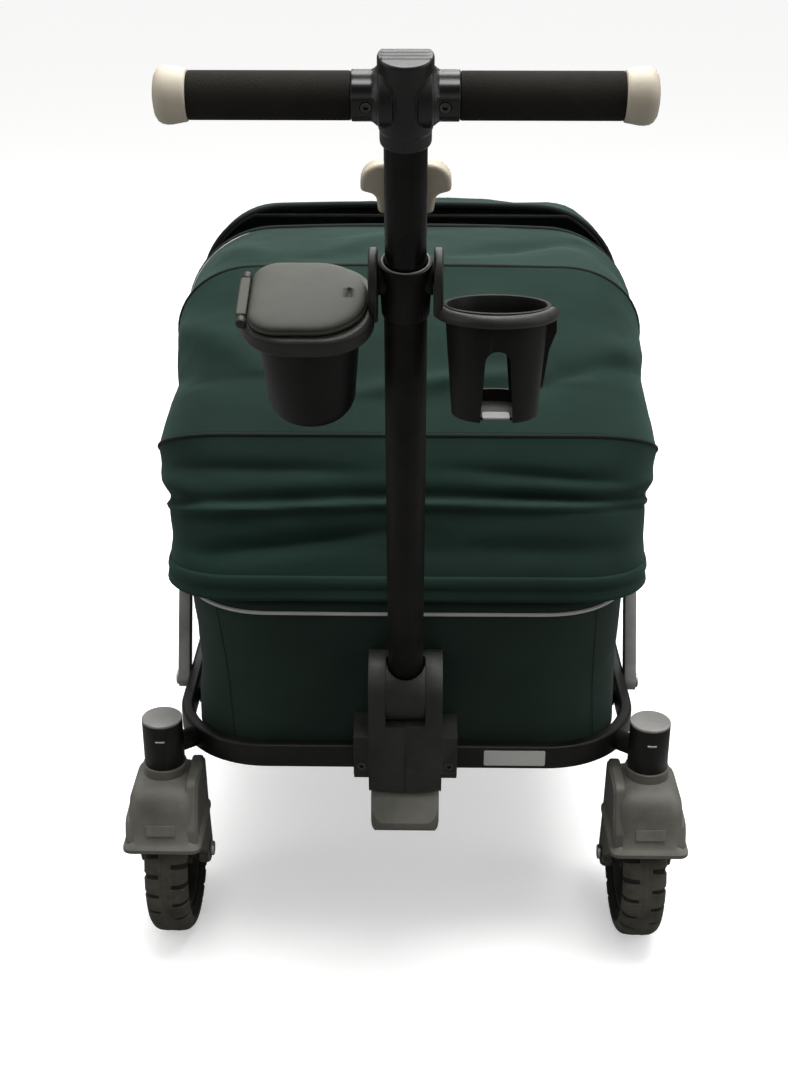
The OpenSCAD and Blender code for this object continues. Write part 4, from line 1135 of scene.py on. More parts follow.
# %% [markdown]
# ## The pull handle's grip
#
# The handle's pieces lie along a leaning pole, so they are all made in the pole's own frame: Z runs up
# the pole, X to the wagon's right. The grips are foam sleeves between the hub and two bell-shaped caps,
# and the trigger is a pair of rounded finger wings behind the pole.

# %% Pole frame
POLE_ROOT = Vector(joint("handle_tilt")["pos_m"])
POLE_UP = Vector(joint("handle_extend")["axis"]).normalized()
if POLE_UP.z < 0:
    POLE_UP = -POLE_UP
POLE_RIGHT = Vector((1, 0, 0))
pole_place = Matrix((POLE_RIGHT, POLE_UP.cross(POLE_RIGHT), POLE_UP)).transposed().to_4x4()
pole_place.translation = POLE_ROOT
BAR_AT = 0.716
TRIGGER_AT = 0.628
EAR_AT = 0.545


def moved(x, y, z):
    return Matrix.Translation((x, y, z))


# maps a plate's (x, y, thickness) to (y, z, x), for plates that stand along the wagon
ON_SIDE = Matrix(((0, 0, 1, 0), (1, 0, 0, 0), (0, 1, 0, 0), (0, 0, 0, 1)))
LIE_ALONG_X = Matrix.Rotation(math.pi / 2, 4, "Y")
STAND_UP = Matrix.Rotation(math.pi / 2, 4, "X")


def joined(name, pieces):
    """Several pieces become one object that keeps every material."""
    shape = bmesh.new()
    materials = []
    for piece in pieces:
        mesh = piece.data
        for material in mesh.materials:
            if material not in materials:
                materials.append(material)
        slots = [materials.index(m) for m in mesh.materials]
        first = len(shape.faces)
        shape.from_mesh(mesh)
        shape.faces.ensure_lookup_table()
        for face in shape.faces[first:]:
            face.material_index = slots[min(face.material_index, len(slots) - 1)]
        bpy.data.objects.remove(piece, do_unlink=True)
    mesh = bpy.data.meshes.new(name)
    shape.to_mesh(mesh)
    shape.free()
    for material in materials:
        mesh.materials.append(material)
    whole = bpy.data.objects.new(name, mesh)
    bpy.context.scene.collection.objects.link(whole)
    return whole


def finish(piece, node, body, slot):
    if node:
        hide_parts(node)
    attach(piece, body)
    return piece


# %% Foam, caps and trigger
FOAM_RADIUS = 0.019
FOAM_START, FOAM_STOP, CAP_STOP = 0.0431, 0.172, 0.199
foam_profile = [(0.0150, FOAM_START), (FOAM_RADIUS - 0.0008, FOAM_START),
                (FOAM_RADIUS, FOAM_START + 0.0012), (FOAM_RADIUS, FOAM_STOP - 0.0012),
                (FOAM_RADIUS - 0.0008, FOAM_STOP), (0.0150, FOAM_STOP), (0.0150, FOAM_START)]
cap_profile = [(0, 0.1915), (0.0142, 0.1915), (0.0142, 0.1722), (0.0194, 0.1722), (0.0204, 0.1732),
               (0.0208, 0.1760), (0.0216, 0.1800), (0.0224, 0.1845), (0.0226, 0.1885),
               (0.0220, 0.1922), (0.0202, 0.1953), (0.0168, 0.1975), (0.0120, 0.1986),
               (0.0060, CAP_STOP - 0.0001), (0, CAP_STOP)]
bar_ends = [pole_place @ moved(0, 0, BAR_AT) @ Matrix.Rotation(side * math.pi / 2, 4, "Y")
            for side in (-1, 1)]
grips = joined("foam_grips_finished", [turned("foam", foam_profile, foam, place)
                                       for place in bar_ends])
finish(grips, "foam_grips", "grip", "foam_black")
caps = joined("grip_caps_finished", [turned("cap", cap_profile, hard["trim_plastic"], place)
                                     for place in bar_ends])
finish(caps, "grip_caps", "grip", "trim_beige")

wing = [(0.0235, -0.0330, 0.0050), (0.0255, -0.0150, 0.0080), (0.0385, -0.0110, 0.0040),
        (0.0385, 0.0145, 0.0185)]
outline = rounded(wing + [(-x, y, r) for x, y, r in reversed(wing)], steps=7)
behind = pole_place @ moved(0, 0, TRIGGER_AT) @ STAND_UP
tongue = [(-0.0047, -0.013), (0.0047, -0.013), (0.0047, 0.012), (-0.0047, 0.012)]
trigger = joined("trigger_finished", [
    plate("wings", outline, -0.035, -0.020, hard["trim_plastic"], behind, edge=0.0048, segments=5),
    plate("tongue", tongue, -0.021, -0.002, hard["trim_plastic"], behind, edge=0.0005)])
finish(trigger, "trigger", "trigger", "trim_beige")
print("grips, caps and trigger made")

# %% [markdown]
# ## Lofted shapes
#
# A moulded lid or a caster's crown changes its outline from level to level. The loft tool joins a list
# of outlines that all have the same number of points, and a cutting tool takes one closed shape away
# from another.

# %% Loft and cut tools
def loft(name, outlines, material, place=None):
    """Outlines are lists of (x, y, z) points with one count. The first and last are closed."""
    count = len(outlines[0])
    points = [p for outline in outlines for p in outline]
    faces = [[a + k, a + (k + 1) % count, a + count + (k + 1) % count, a + count + k]
             for a in range(0, count * (len(outlines) - 1), count) for k in range(count)]
    faces += [list(reversed(range(count))), list(range(len(points) - count, len(points)))]
    return recalculate(new_piece(name, points, faces, material, place))


def box_outline(left, right, front, back, radii, z, steps=8):
    front_r, back_r = radii
    corners = [(right, front, front_r), (right, back, back_r), (left, back, back_r),
               (left, front, front_r)]
    return [(x, y, z) for x, y in rounded(corners, steps=steps)]


def cut(piece, tools):
    """Takes the closed tools away from the piece."""
    for tool in tools:
        saw = piece.modifiers.new("cut", "BOOLEAN")
        saw.operation = "DIFFERENCE"
        saw.solver = "EXACT"
        saw.object = tool
    apply_modifiers(piece)
    for tool in tools:
        bpy.data.objects.remove(tool, do_unlink=True)
    return piece


def circle(radius, steps=64, start=0.0, stop=360.0):
    last = steps if stop - start >= 360 else steps + 1
    return [(radius * math.cos(math.radians(start + (stop - start) * k / steps)),
             radius * math.sin(math.radians(start + (stop - start) * k / steps)))
            for k in range(last)]


def facing_pivot(across, at):
    """Pole-frame place of a plate that stands beside the pole, turning about X."""
    return pole_place @ moved(across, 0, at) @ ON_SIDE


print("loft and cut tools ready")

# %% [markdown]
# ## Handle hub
#
# The hub is one casting: an upright barrel round the pole, and two fluted sockets for the grip's tube.
# Its parts simply overlap. A voxel remesh melts them into one skin, and smoothing rounds the inner
# corners as a casting's fillets do. The screw holes are bored last, so that they stay crisp.

# %% Handle hub
HUB_RADIUS = 0.0225


def make_hub():
    casting = hard["hub_casting"]
    barrel = turned("barrel", [(0, 0.676), (0.0208, 0.676), (0.0212, 0.6775), (0.0212, 0.6880),
                               (0.0222, 0.6895), (HUB_RADIUS, 0.6960), (HUB_RADIUS, 0.7490),
                               (0.0215, 0.7505), (0, 0.7505)], casting, None, sides=96)
    back = plate("back", [(-0.030, 0.0065), (0.030, 0.0065), (0.030, 0.040), (-0.030, 0.040)],
                 0, 0.050, casting,
                 moved(0, 0, 0.7360) @ Matrix.Rotation(math.radians(-14), 4, "X"), edge=0)
    cut(barrel, [back])
    parts = [barrel]
    fluted = []
    for k in range(96):
        a = 2 * math.pi * k / 96
        top = max(0.0, math.cos(a - math.radians(30)) - 0.45)
        radius = 0.0198 + 0.0007 * math.sin(11 * a) * min(1.0, 3 * top)
        fluted.append((-radius * math.sin(a), radius * math.cos(a)))
    for side in (-1, 1):
        low, high = sorted((side * 0.010, side * 0.0430))
        parts.append(plate("socket", fluted, low, high, casting, moved(0, 0, BAR_AT) @ ON_SIDE,
                           edge=0))
        for x, radius in ((0.0255, 0.0212), (0.0235, 0.0228), (0.0215, 0.0250)):
            low, high = sorted((side * 0.010, side * x))
            parts.append(turned("web", [(0, low), (radius, low), (radius, high), (0, high)],
                                casting, moved(0, 0, BAR_AT) @ LIE_ALONG_X, sides=64))
    for y in (-0.0075, -0.0020, 0.0035):
        parts.append(plate("rib", rounded([(0.019, y - 0.0014, 0.001), (0.019, y + 0.0014, 0.001),
                                           (-0.019, y + 0.0014, 0.001), (-0.019, y - 0.0014, 0.001)]),
                           0.7495, 0.7516, casting, edge=0))
    hub = joined("handle_hub_finished", parts)
    melt = hub.modifiers.new("melt", "REMESH")
    melt.mode = "VOXEL"
    melt.voxel_size = 0.0008
    calm = hub.modifiers.new("calm", "SMOOTH")
    calm.factor, calm.iterations = 0.5, 7
    apply_modifiers(hub)
    bores = [turned("bore", [(0, 0), (0.0050, 0), (0.0050, 0.012), (0, 0.012)], casting,
                    moved(side * 0.031, -0.0165, BAR_AT) @ STAND_UP,
                    sides=32) for side in (-1, 1)]
    cut(hub, bores)
    hub.data.transform(pole_place)
    hub.data.shade_smooth()
    hub.data.materials.clear()
    hub.data.materials.append(casting)
    return hub


finish(make_hub(), "handle_hub", "grip", "gloss_black_tube")
print("hub made")

# %% [markdown]
# ## Snack box
#
# A tapered bucket with a rounded foot drops into a thick ring, under a domed lid whose hinge is a bar
# along its left edge. An ear on the ring turns on the collar's stud.

# %% Snack box pieces
SNACK_X = -0.0868
RING_AT, RING_TALL = 0.501, 0.018
BUCKET_LOW = 0.401
ring_half = 0.0595
LID_AT, LID_PIN_AT = 0.5203, 0.5213
lid_hinge_x = SNACK_X - ring_half + 0.004
hole = circle(0.0473, 72)
ring_outline = [(x + SNACK_X, y) for x, y in
                rounded([(ring_half, -ring_half, 0.046), (ring_half, ring_half, 0.046),
                         (-ring_half, ring_half, 0.046), (-ring_half, -ring_half, 0.046)], steps=14)]
holder_ring = plate("holder_ring", ring_outline, RING_AT, RING_AT + RING_TALL,
                    hard["rim_of_holder"], pole_place, edge=0.0048, segments=5,
                    holes=[[(x + SNACK_X, y) for x, y in hole]])
groove = turned("groove", [(0, -0.0285), (0.0046, -0.0285), (0.0046, 0.0285), (0, 0.0285)],
                hard["rim_of_holder"],
                pole_place @ moved(lid_hinge_x, 0, LID_PIN_AT) @ STAND_UP, sides=24)
cut(holder_ring, [groove])
ear_shape = circle(0.026, 40, -35, 215) + [(-0.0110, -0.041), (0.0110, -0.041)]
snack_ear = plate("snack_ear", ear_shape, -0.0041, 0.0039, hard["rim_of_holder"],
                  facing_pivot(-0.0282, EAR_AT), edge=0.0022, segments=3)
latch = plate("latch", rounded([(0.0042, -0.011, 0.002), (0.0042, 0.011, 0.002),
                                (-0.0042, 0.011, 0.002), (-0.0042, -0.011, 0.002)]),
              RING_AT + 0.006, RING_AT + 0.031, hard["black_plastic"],
              pole_place @ moved(-0.0290, 0, 0), edge=0.0012)
knuckles = [turned("knuckle", [(0, -0.004), (0.0042, -0.004), (0.0045, -0.0037), (0.0045, 0.0037),
                               (0.0042, 0.004), (0, 0.004)], hard["rim_of_holder"],
                   pole_place @ moved(lid_hinge_x, side * 0.033, LID_PIN_AT) @ STAND_UP,
                   sides=24) for side in (-1, 1)]
finish(joined("snack_ring_finished", [holder_ring, snack_ear, latch, *knuckles]),
       "snack_ring", "snack_box", "black_plastic")

bucket_profile = [(0, 0), (0.0255, 0), (0.0310, 0.0012), (0.0352, 0.0045), (0.0382, 0.0090),
                  (0.0402, 0.0150), (0.0470, 0.0996), (0.0470, 0.1168), (0.0464, 0.1172),
                  (0.0450, 0.1172), (0.0444, 0.1168), (0.0438, 0.0996), (0.0372, 0.0120),
                  (0.0300, 0.0042), (0, 0.0030)]
bucket = turned("snack_bucket_finished", bucket_profile, hard["black_plastic"],
                pole_place @ moved(SNACK_X, 0, BUCKET_LOW), sides=72)
finish(bucket, "snack_bucket", "snack_box", "black_plastic")

LID_HALF = 0.052
LID_LEVELS = [(0.0006, 0.0), (0.0, 0.0005), (0.0, 0.0026), (0.0011, 0.0030), (0.0014, 0.0036),
              (0.0011, 0.0042), (0.0013, 0.0052), (0.0024, 0.0063), (0.0046, 0.0073),
              (0.0090, 0.0081), (0.0160, 0.0087), (0.0250, 0.0090), (0.0350, 0.0092),
              (0.0430, 0.0092)]
lid_rings = []
for inset, rise in LID_LEVELS:
    half = LID_HALF - inset
    corners = [(half, -half, max(0.001, 0.047 - inset)), (half, half, max(0.001, 0.047 - inset)),
               (-half, half, max(0.001, 0.026 - inset)), (-half, -half, max(0.001, 0.026 - inset))]
    lid_rings.append([(x, y, rise) for x, y in rounded(corners, steps=14)])
lid = loft("lid_top", lid_rings, hard["lid_plastic"], pole_place @ moved(SNACK_X + 0.0015, 0, LID_AT))
slot = plate("slot", rounded([(0.0019, -0.008, 0.0018), (0.0019, 0.008, 0.0018),
                              (-0.0019, 0.008, 0.0018), (-0.0019, -0.008, 0.0018)]),
             0.0066, 0.0120, hard["lid_plastic"],
             pole_place @ moved(SNACK_X + 0.0375, 0, LID_AT), edge=0)
cut(lid, [slot])
hinge_bar = plate("hinge_bar", rounded([(0.0046, -0.028, 0.002), (0.0046, 0.028, 0.002),
                                        (-0.0046, 0.028, 0.003), (-0.0046, -0.028, 0.003)]),
                  -0.0028, 0.0058, hard["lid_plastic"],
                  pole_place @ moved(SNACK_X - 0.0560, 0, LID_AT), edge=0.0016, segments=3)
pin = turned("lid_pin", [(0, -0.0365), (0.0020, -0.0365), (0.0020, 0.0365), (0, 0.0365)],
             hard["zinc"], pole_place @ moved(lid_hinge_x, 0, LID_PIN_AT) @ STAND_UP, sides=20)
finish(joined("snack_lid_finished", [lid, hinge_bar, pin]), "snack_lid", "snack_lid", "lid_grey")
print("snack box made")

# %% [markdown]
# ## Cup holder
#
# The cup holder is a tapered cup with a tall finger slot in front and behind. Its rim is thin at the
# back. In front, a thick rounded band runs from the ear round to the right, where its end overlaps a
# fin that stiffens the cup.

# %% Cup holder pieces
CUP_TILT = math.radians(25)
CUP_X = 0.0798
RIM_TOP, RIM_LOW, CUP_LOW = -0.022, -0.034, -0.121
cup_place = pole_place @ moved(0, 0, EAR_AT) @ Matrix.Rotation(-CUP_TILT, 4, "X")
cup_centre = cup_place @ moved(CUP_X, 0, 0)
cup_profile = [(0, CUP_LOW), (0.0370, CUP_LOW), (0.0384, CUP_LOW + 0.0012),
               (0.0450, RIM_LOW), (0.0478, RIM_LOW + 0.0020), (0.0484, RIM_TOP - 0.0030),
               (0.0474, RIM_TOP - 0.0006), (0.0456, RIM_TOP), (0.0440, RIM_TOP - 0.0008),
               (0.0432, RIM_TOP - 0.0030), (0.0420, RIM_LOW), (0.0352, CUP_LOW + 0.0030),
               (0, CUP_LOW + 0.0030)]
cup = turned("cup", cup_profile, hard["black_plastic"], cup_centre, sides=96)
arch = [(x, y + 0.054) for x, y in circle(0.011, 20, 0, 180)]
slots = [plate("finger_slot", [(0.0145, low), *arch, (-0.0145, low)], depth[0], depth[1],
               hard["black_plastic"],
               cup_centre @ moved(0, 0, CUP_LOW) @ STAND_UP, edge=0)
         for low, depth in ((-0.004, (0.024, 0.060)), (0.014, (-0.060, -0.024)))]
cut(cup, slots)
soften(cup, 0.0007, 2, 40)
band_path = [(0.0500 * math.cos(math.radians(a)), 0.0500 * math.sin(math.radians(a)),
              RIM_TOP - 0.0062 - 0.0012 * math.sin(math.radians((a - 176) * 180 / 172)))
             for a in range(176, 349, 4)]
band = tube("band", band_path, 0.0062, hard["rim_of_holder"], sides=16, squash=0.78)
band.data.transform(cup_centre)
soften(band, 0.0016, 3, 50)
ear = plate("cup_ear", circle(0.026, 40, -30, 210) + [(-0.0175, RIM_LOW + 0.002),
                                                    (0.0175, RIM_LOW + 0.002)],
            -0.0039, 0.0041, hard["rim_of_holder"],
            cup_place @ moved(0.0284, 0, 0) @ ON_SIDE, edge=0.0022, segments=3)
fin = [(-0.008, -0.002), (0.012, -0.002), (0.0125, -0.016), (0.0065, -0.032), (0.0015, -0.066),
       (-0.003, -0.070)]
fin_piece = plate("fin", fin, -0.003, 0.003, hard["black_plastic"],
                  cup_centre @ moved(0.0405, 0, RIM_LOW + 0.004)
                  @ STAND_UP, edge=0.0009, segments=2)
finish(joined("cup_holder_finished", [cup, band, ear, fin_piece]), "cup_holder", "cup_holder",
       "black_plastic")
floor_band = plate("cup_floor_band", rounded([(0.0120, -0.034, 0.002), (0.0120, -0.012, 0.004),
                                              (-0.0120, -0.012, 0.004), (-0.0120, -0.034, 0.002)]),
                   CUP_LOW + 0.0028, CUP_LOW + 0.0048, hard["cap_plastic"], cup_centre,
                   edge=0.0005)
finish(floor_band, None, "cup_holder", "strut_grey")
print("cup holder made")

# %% [markdown]
# ## Wheels and forks
#
# Each tyre is a turned carcass under a paler crown band, with two rows of trapezoid lugs that wrap over its
# shoulders, set half a step apart. The carcass is painted darker than the lugs and the crown band: painted
# shade in the grooves between the lugs. One lug is shaped to the tyre's profile, and geometry nodes repeat
# it round the wheel.

# %% Tyre profile and one lug
WHEEL_RADIUS = 0.100
TREAD_DEEP = 0.0016
LUG_COUNT = 24


def tyre_surface(t):
    """Across, radius and normal on the groove's floor, from the crown at t = 0 to the sidewall."""
    shoulder, flat, side = 0.0125, 0.0118, 0.006
    arc = 0.88 * shoulder * math.pi / 2
    run = t * (flat + arc + side)
    base = WHEEL_RADIUS - TREAD_DEEP
    if run < flat:
        return run, base - 0.0006 * (run / flat) ** 2, (0.0, 1.0)
    turn = min(run - flat, arc) / shoulder
    down = max(0.0, run - flat - arc)
    return (flat + shoulder * math.sin(turn) + down * math.cos(turn),
            base - 0.0006 - shoulder * (1 - math.cos(turn)) - down * math.sin(turn),
            (math.sin(turn), math.cos(turn)))


def lug_mesh():
    points, faces = [], []
    steps = 9
    for i in range(steps):
        t = 0.12 + 0.84 * i / (steps - 1)
        across, radius, (nx, nr) = tyre_surface(t)
        half = 0.0104 - 0.0026 * i / (steps - 1)
        lift = TREAD_DEEP if i < steps - 1 else TREAD_DEEP * 0.45
        for push, width in ((-0.0006, half + 0.0007), (lift, half)):
            points.append((across + nx * push, -width, radius + nr * push))
            points.append((across + nx * push, width, radius + nr * push))
    for i in range(steps - 1):
        a, b = 4 * i, 4 * i + 4
        faces += [(a + 2, a + 3, b + 3, b + 2), (a, a + 2, b + 2, b), (a + 1, b + 1, b + 3, a + 3),
                  (a, b, b + 1, a + 1)]
    faces += [(0, 1, 3, 2), (len(points) - 4, len(points) - 2, len(points) - 1, len(points) - 3)]
    lug = recalculate(new_piece("one_lug", points, faces, tyre_rubber, smooth=False))
    return soften(lug, 0.0005, 1, 40)


print("lug ready")


# %% Tread tree
def link_new(tree, kind, **inputs):
    node = tree.nodes.new(kind)
    for name, value in inputs.items():
        socket = node.inputs[name.replace("_", " ")]
        if isinstance(value, bpy.types.NodeSocket):
            tree.links.new(value, socket)
        else:
            socket.default_value = value
    return node


def node_math(tree, operation, first, second=None):
    node = tree.nodes.new("ShaderNodeMath")
    node.operation = operation
    for socket, value in zip(node.inputs, (first, second)):
        if isinstance(value, bpy.types.NodeSocket):
            tree.links.new(value, socket)
        elif value is not None:
            socket.default_value = value
    return node.outputs[0]


def make_ring_tree():
    """Repeats an object round the X axis, Count times, from Start turns of one step."""
    tree = bpy.data.node_groups.new("repeat_round", "GeometryNodeTree")
    face = tree.interface
    face.new_socket("Geometry", in_out="OUTPUT", socket_type="NodeSocketGeometry")
    for name, kind in (("Shape", "Object"), ("Count", "Int"), ("Start", "Float"),
                       ("Finish", "Material")):
        face.new_socket(name, in_out="INPUT", socket_type="NodeSocket" + kind)
    given = tree.nodes.new("NodeGroupInput")
    result = tree.nodes.new("NodeGroupOutput")
    index = tree.nodes.new("GeometryNodeInputIndex")
    step = node_math(tree, "DIVIDE", 2 * math.pi, given.outputs["Count"])
    turn = node_math(tree, "MULTIPLY",
                     node_math(tree, "ADD", index.outputs[0], given.outputs["Start"]), step)
    spin = link_new(tree, "ShaderNodeCombineXYZ", X=turn)
    dots = link_new(tree, "GeometryNodePoints", Count=given.outputs["Count"])
    shape = link_new(tree, "GeometryNodeObjectInfo", Object=given.outputs["Shape"])
    repeat = link_new(tree, "GeometryNodeInstanceOnPoints", Points=dots.outputs[0],
                      Instance=shape.outputs["Geometry"], Rotation=spin.outputs[0])
    real = link_new(tree, "GeometryNodeRealizeInstances", Geometry=repeat.outputs[0])
    painted = link_new(tree, "GeometryNodeSetMaterial", Geometry=real.outputs[0],
                       Material=given.outputs["Finish"])
    tree.links.new(painted.outputs[0], result.inputs[0])
    return tree


ring_tree = make_ring_tree()


def run_tree(carrier, tree, values):
    """Runs a geometry node tree on a carrier and keeps its result as a plain mesh."""
    modifier = carrier.modifiers.new("grow", "NODES")
    modifier.node_group = tree
    for item in tree.interface.items_tree:
        if item.in_out == "INPUT" and item.name in values:
            modifier[item.identifier] = values[item.name]
    apply_modifiers(carrier)
    if not carrier.data.materials:
        carrier.data.materials.append(values["Finish"])
    return carrier


print("tread tree ready")

# %% Tyres
carcass = []
for i in range(31):
    across, radius, _ = tyre_surface(i / 30)
    carcass.append((radius, across))
side_points = [(0.0790, 0.0226), (0.0745, 0.0215), (0.0725, 0.0205), (0.0720, 0.0190)]
half_profile = carcass + side_points
profile = [(r, -x) for r, x in reversed(half_profile[1:])] + half_profile
profile.append(profile[0])
BAND_HALF = 0.0072
band_profile = [(0.0970, -BAND_HALF - 0.0005), (0.0992, -BAND_HALF - 0.0003), (0.0998, -BAND_HALF),
                (0.1000, 0.0), (0.0998, BAND_HALF), (0.0992, BAND_HALF + 0.0003),
                (0.0970, BAND_HALF + 0.0005), (0.0970, -BAND_HALF - 0.0005)]
for wheel in ("front_left", "front_right", "rear_left", "rear_right"):
    node = "tyre_" + wheel
    low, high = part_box(node)
    centre = (low + high) / 2
    place = moved(*centre)
    lug = lug_mesh()
    # The carcass wears the darker groove colour, as painted shade between the lugs.
    rows = [turned("carcass", profile, groove_painted_shade, place @ LIE_ALONG_X, sides=96),
            turned("crown_band", band_profile, tyre_rubber, place @ LIE_ALONG_X, sides=96)]
    for start, flip in ((0.0, 1), (0.5, -1)):
        row = run_tree(new_piece("lugs", [(0, 0, 0)], [], tyre_rubber), ring_tree,
                       {"Shape": lug, "Count": LUG_COUNT, "Start": start, "Finish": tyre_rubber})
        row.data.transform(place @ Matrix.Diagonal((flip, 1, 1, 1)))
        if flip < 0:
            row.data.flip_normals()
        rows.append(row)
    bpy.data.objects.remove(lug, do_unlink=True)
    finish(joined(node + "_finished", rows), node, "wheel_" + wheel, "tyre_rubber")
print("tyres made")

# %% [markdown]
# The caster forks are moulded saddles: a round neck under the post swells into a crown with a flared lip
# in front, and two legs come down beside the wheel. A raised rim follows each leg's outline.

# %% Fork tool
LEG_IN, LEG_OUT = 0.028, 0.041
FORK_TOP, CROWN_LOW = 0.252, 0.184
ARCH_RADIUS = 0.104
BOSS_RADIUS = 0.017
CROWN = [  # height, half width, front, back, corner radius
    (0.1640, 0.0440, -0.0640, 0.0430, 0.010), (0.1665, 0.0458, -0.0672, 0.0438, 0.011),
    (0.1710, 0.0456, -0.0675, 0.0440, 0.011), (0.1745, 0.0425, -0.0645, 0.0435, 0.012),
    (0.1775, 0.0395, -0.0615, 0.0432, 0.013), (0.1950, 0.0392, -0.0575, 0.0425, 0.014),
    (0.2120, 0.0385, -0.0540, 0.0415, 0.015), (0.2250, 0.0372, -0.0500, 0.0395, 0.016),
    (0.2320, 0.0345, -0.0450, 0.0350, 0.017), (0.2365, 0.0305, -0.0375, 0.0300, 0.019),
    (0.2390, 0.0268, -0.0290, 0.0268, 0.0240), (0.2402, 0.0256, -0.0256, 0.0256, 0.0250),
    (0.2512, 0.0255, -0.0255, 0.0255, 0.0250), (0.2519, 0.0248, -0.0248, 0.0248, 0.0243)]


def make_fork(name, place, axle_back, inner_side, stem):
    grey = hard["fork_plastic"]
    levels = [box_outline(-half, half, front, back, (radius, radius), z)
              for z, half, front, back, radius in CROWN]
    crown = loft("crown", levels, grey)
    axle = moved(0, axle_back, WHEEL_RADIUS)
    arch_tool = turned("arch", [(0, -LEG_IN), (ARCH_RADIUS, -LEG_IN), (ARCH_RADIUS, LEG_IN),
                                (0, LEG_IN)], grey, axle @ LIE_ALONG_X, sides=96)
    cut(crown, [arch_tool])
    soften(crown, 0.0018, 3, 40)
    parts = [crown]
    leg = rounded([(-0.050, CROWN_LOW + 0.020, 0.012), (-0.061, CROWN_LOW - 0.010, 0.008),
                   (axle_back - BOSS_RADIUS, WHEEL_RADIUS + 0.004, 0.010),
                   (axle_back - BOSS_RADIUS, WHEEL_RADIUS - BOSS_RADIUS, 0.0155),
                   (axle_back + BOSS_RADIUS, WHEEL_RADIUS - BOSS_RADIUS, 0.0155),
                   (axle_back + BOSS_RADIUS, WHEEL_RADIUS + 0.004, 0.010),
                   (0.043, CROWN_LOW - 0.010, 0.010), (0.040, CROWN_LOW + 0.028, 0.014)], steps=7)
    tall = rounded([(-0.034, FORK_TOP - 0.009, 0.012), (-0.058, CROWN_LOW + 0.008, 0.018),
                    (-0.060, CROWN_LOW - 0.012, 0.008),
                    (axle_back - BOSS_RADIUS, WHEEL_RADIUS + 0.004, 0.010),
                    (axle_back - BOSS_RADIUS, WHEEL_RADIUS - BOSS_RADIUS, 0.0155),
                    (axle_back + BOSS_RADIUS, WHEEL_RADIUS - BOSS_RADIUS, 0.0155),
                    (axle_back + BOSS_RADIUS, WHEEL_RADIUS + 0.004, 0.010),
                    (0.043, CROWN_LOW - 0.006, 0.010), (0.034, FORK_TOP - 0.009, 0.012)], steps=7)
    for side in (-1, 1):
        shape = tall if side == inner_side else leg
        middle = Vector((sum(x for x, _ in shape), sum(y for _, y in shape))) / len(shape)
        low, high = (LEG_IN, LEG_OUT) if side > 0 else (-LEG_OUT, -LEG_IN)
        parts.append(plate("leg", shape, low, high, grey, ON_SIDE, edge=0.0030, segments=3))
        rim = []
        for x, y in shape:
            inward = (middle - Vector((x, y))).normalized() * 0.0048
            rim.append((side * (LEG_OUT - 0.0002), x + inward.x, y + inward.y))
        parts.append(tube("leg_rim", rim, 0.0017, grey, closed=True, sides=8))
    panel_place = (moved(0, -0.0588, 0.1925) @ Matrix.Rotation(math.radians(90 - 17), 4, "X"))
    parts.append(plate("panel", rounded([(0.017, -0.0065, 0.0015), (0.017, 0.0065, 0.0015),
                                         (-0.017, 0.0065, 0.0015), (-0.017, -0.0065, 0.0015)]),
                       -0.0020, 0.0006, grey, panel_place, edge=0.0005, segments=2))
    if stem:
        parts.append(turned("stem", [(0, FORK_TOP - 0.002), (0.008, FORK_TOP - 0.002),
                                     (0.008, FORK_TOP + 0.0490), (0, FORK_TOP + 0.0490)],
                            hard["zinc"], moved(0, 0, 0), sides=32))
    fork = joined(name, parts)
    fork.data.transform(place)
    return fork


for side in ("left", "right"):
    x, y, _ = joint("caster_swivel_" + side)["pos_m"]
    fork = make_fork(f"caster_fork_{side}_finished", moved(x, y, 0), 0.038,
                     1 if side == "left" else -1, True)
    finish(fork, "caster_fork_" + side, "caster_" + side, "fork_grey")
POST_X = abs(joint("caster_swivel_left")["pos_m"][0])
low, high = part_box("tyre_rear_left")
REAR_Y = (low.y + high.y) / 2
rear = joined("rear_forks_finished", [
    make_fork("rear_fork", moved(side * POST_X, REAR_Y, 0), 0.0, -side, False)
    for side in (-1, 1)])
finish(rear, "rear_forks", "base", "fork_grey")
print("forks made")

# %% [markdown]
# ## Floor pad
#
# The seat pad is a thin quilted mat on the floor board: two panels of five channels, puffed between the
# seams and rounded at its rim.

# %% Floor pad
PAD_CORNER = 0.070


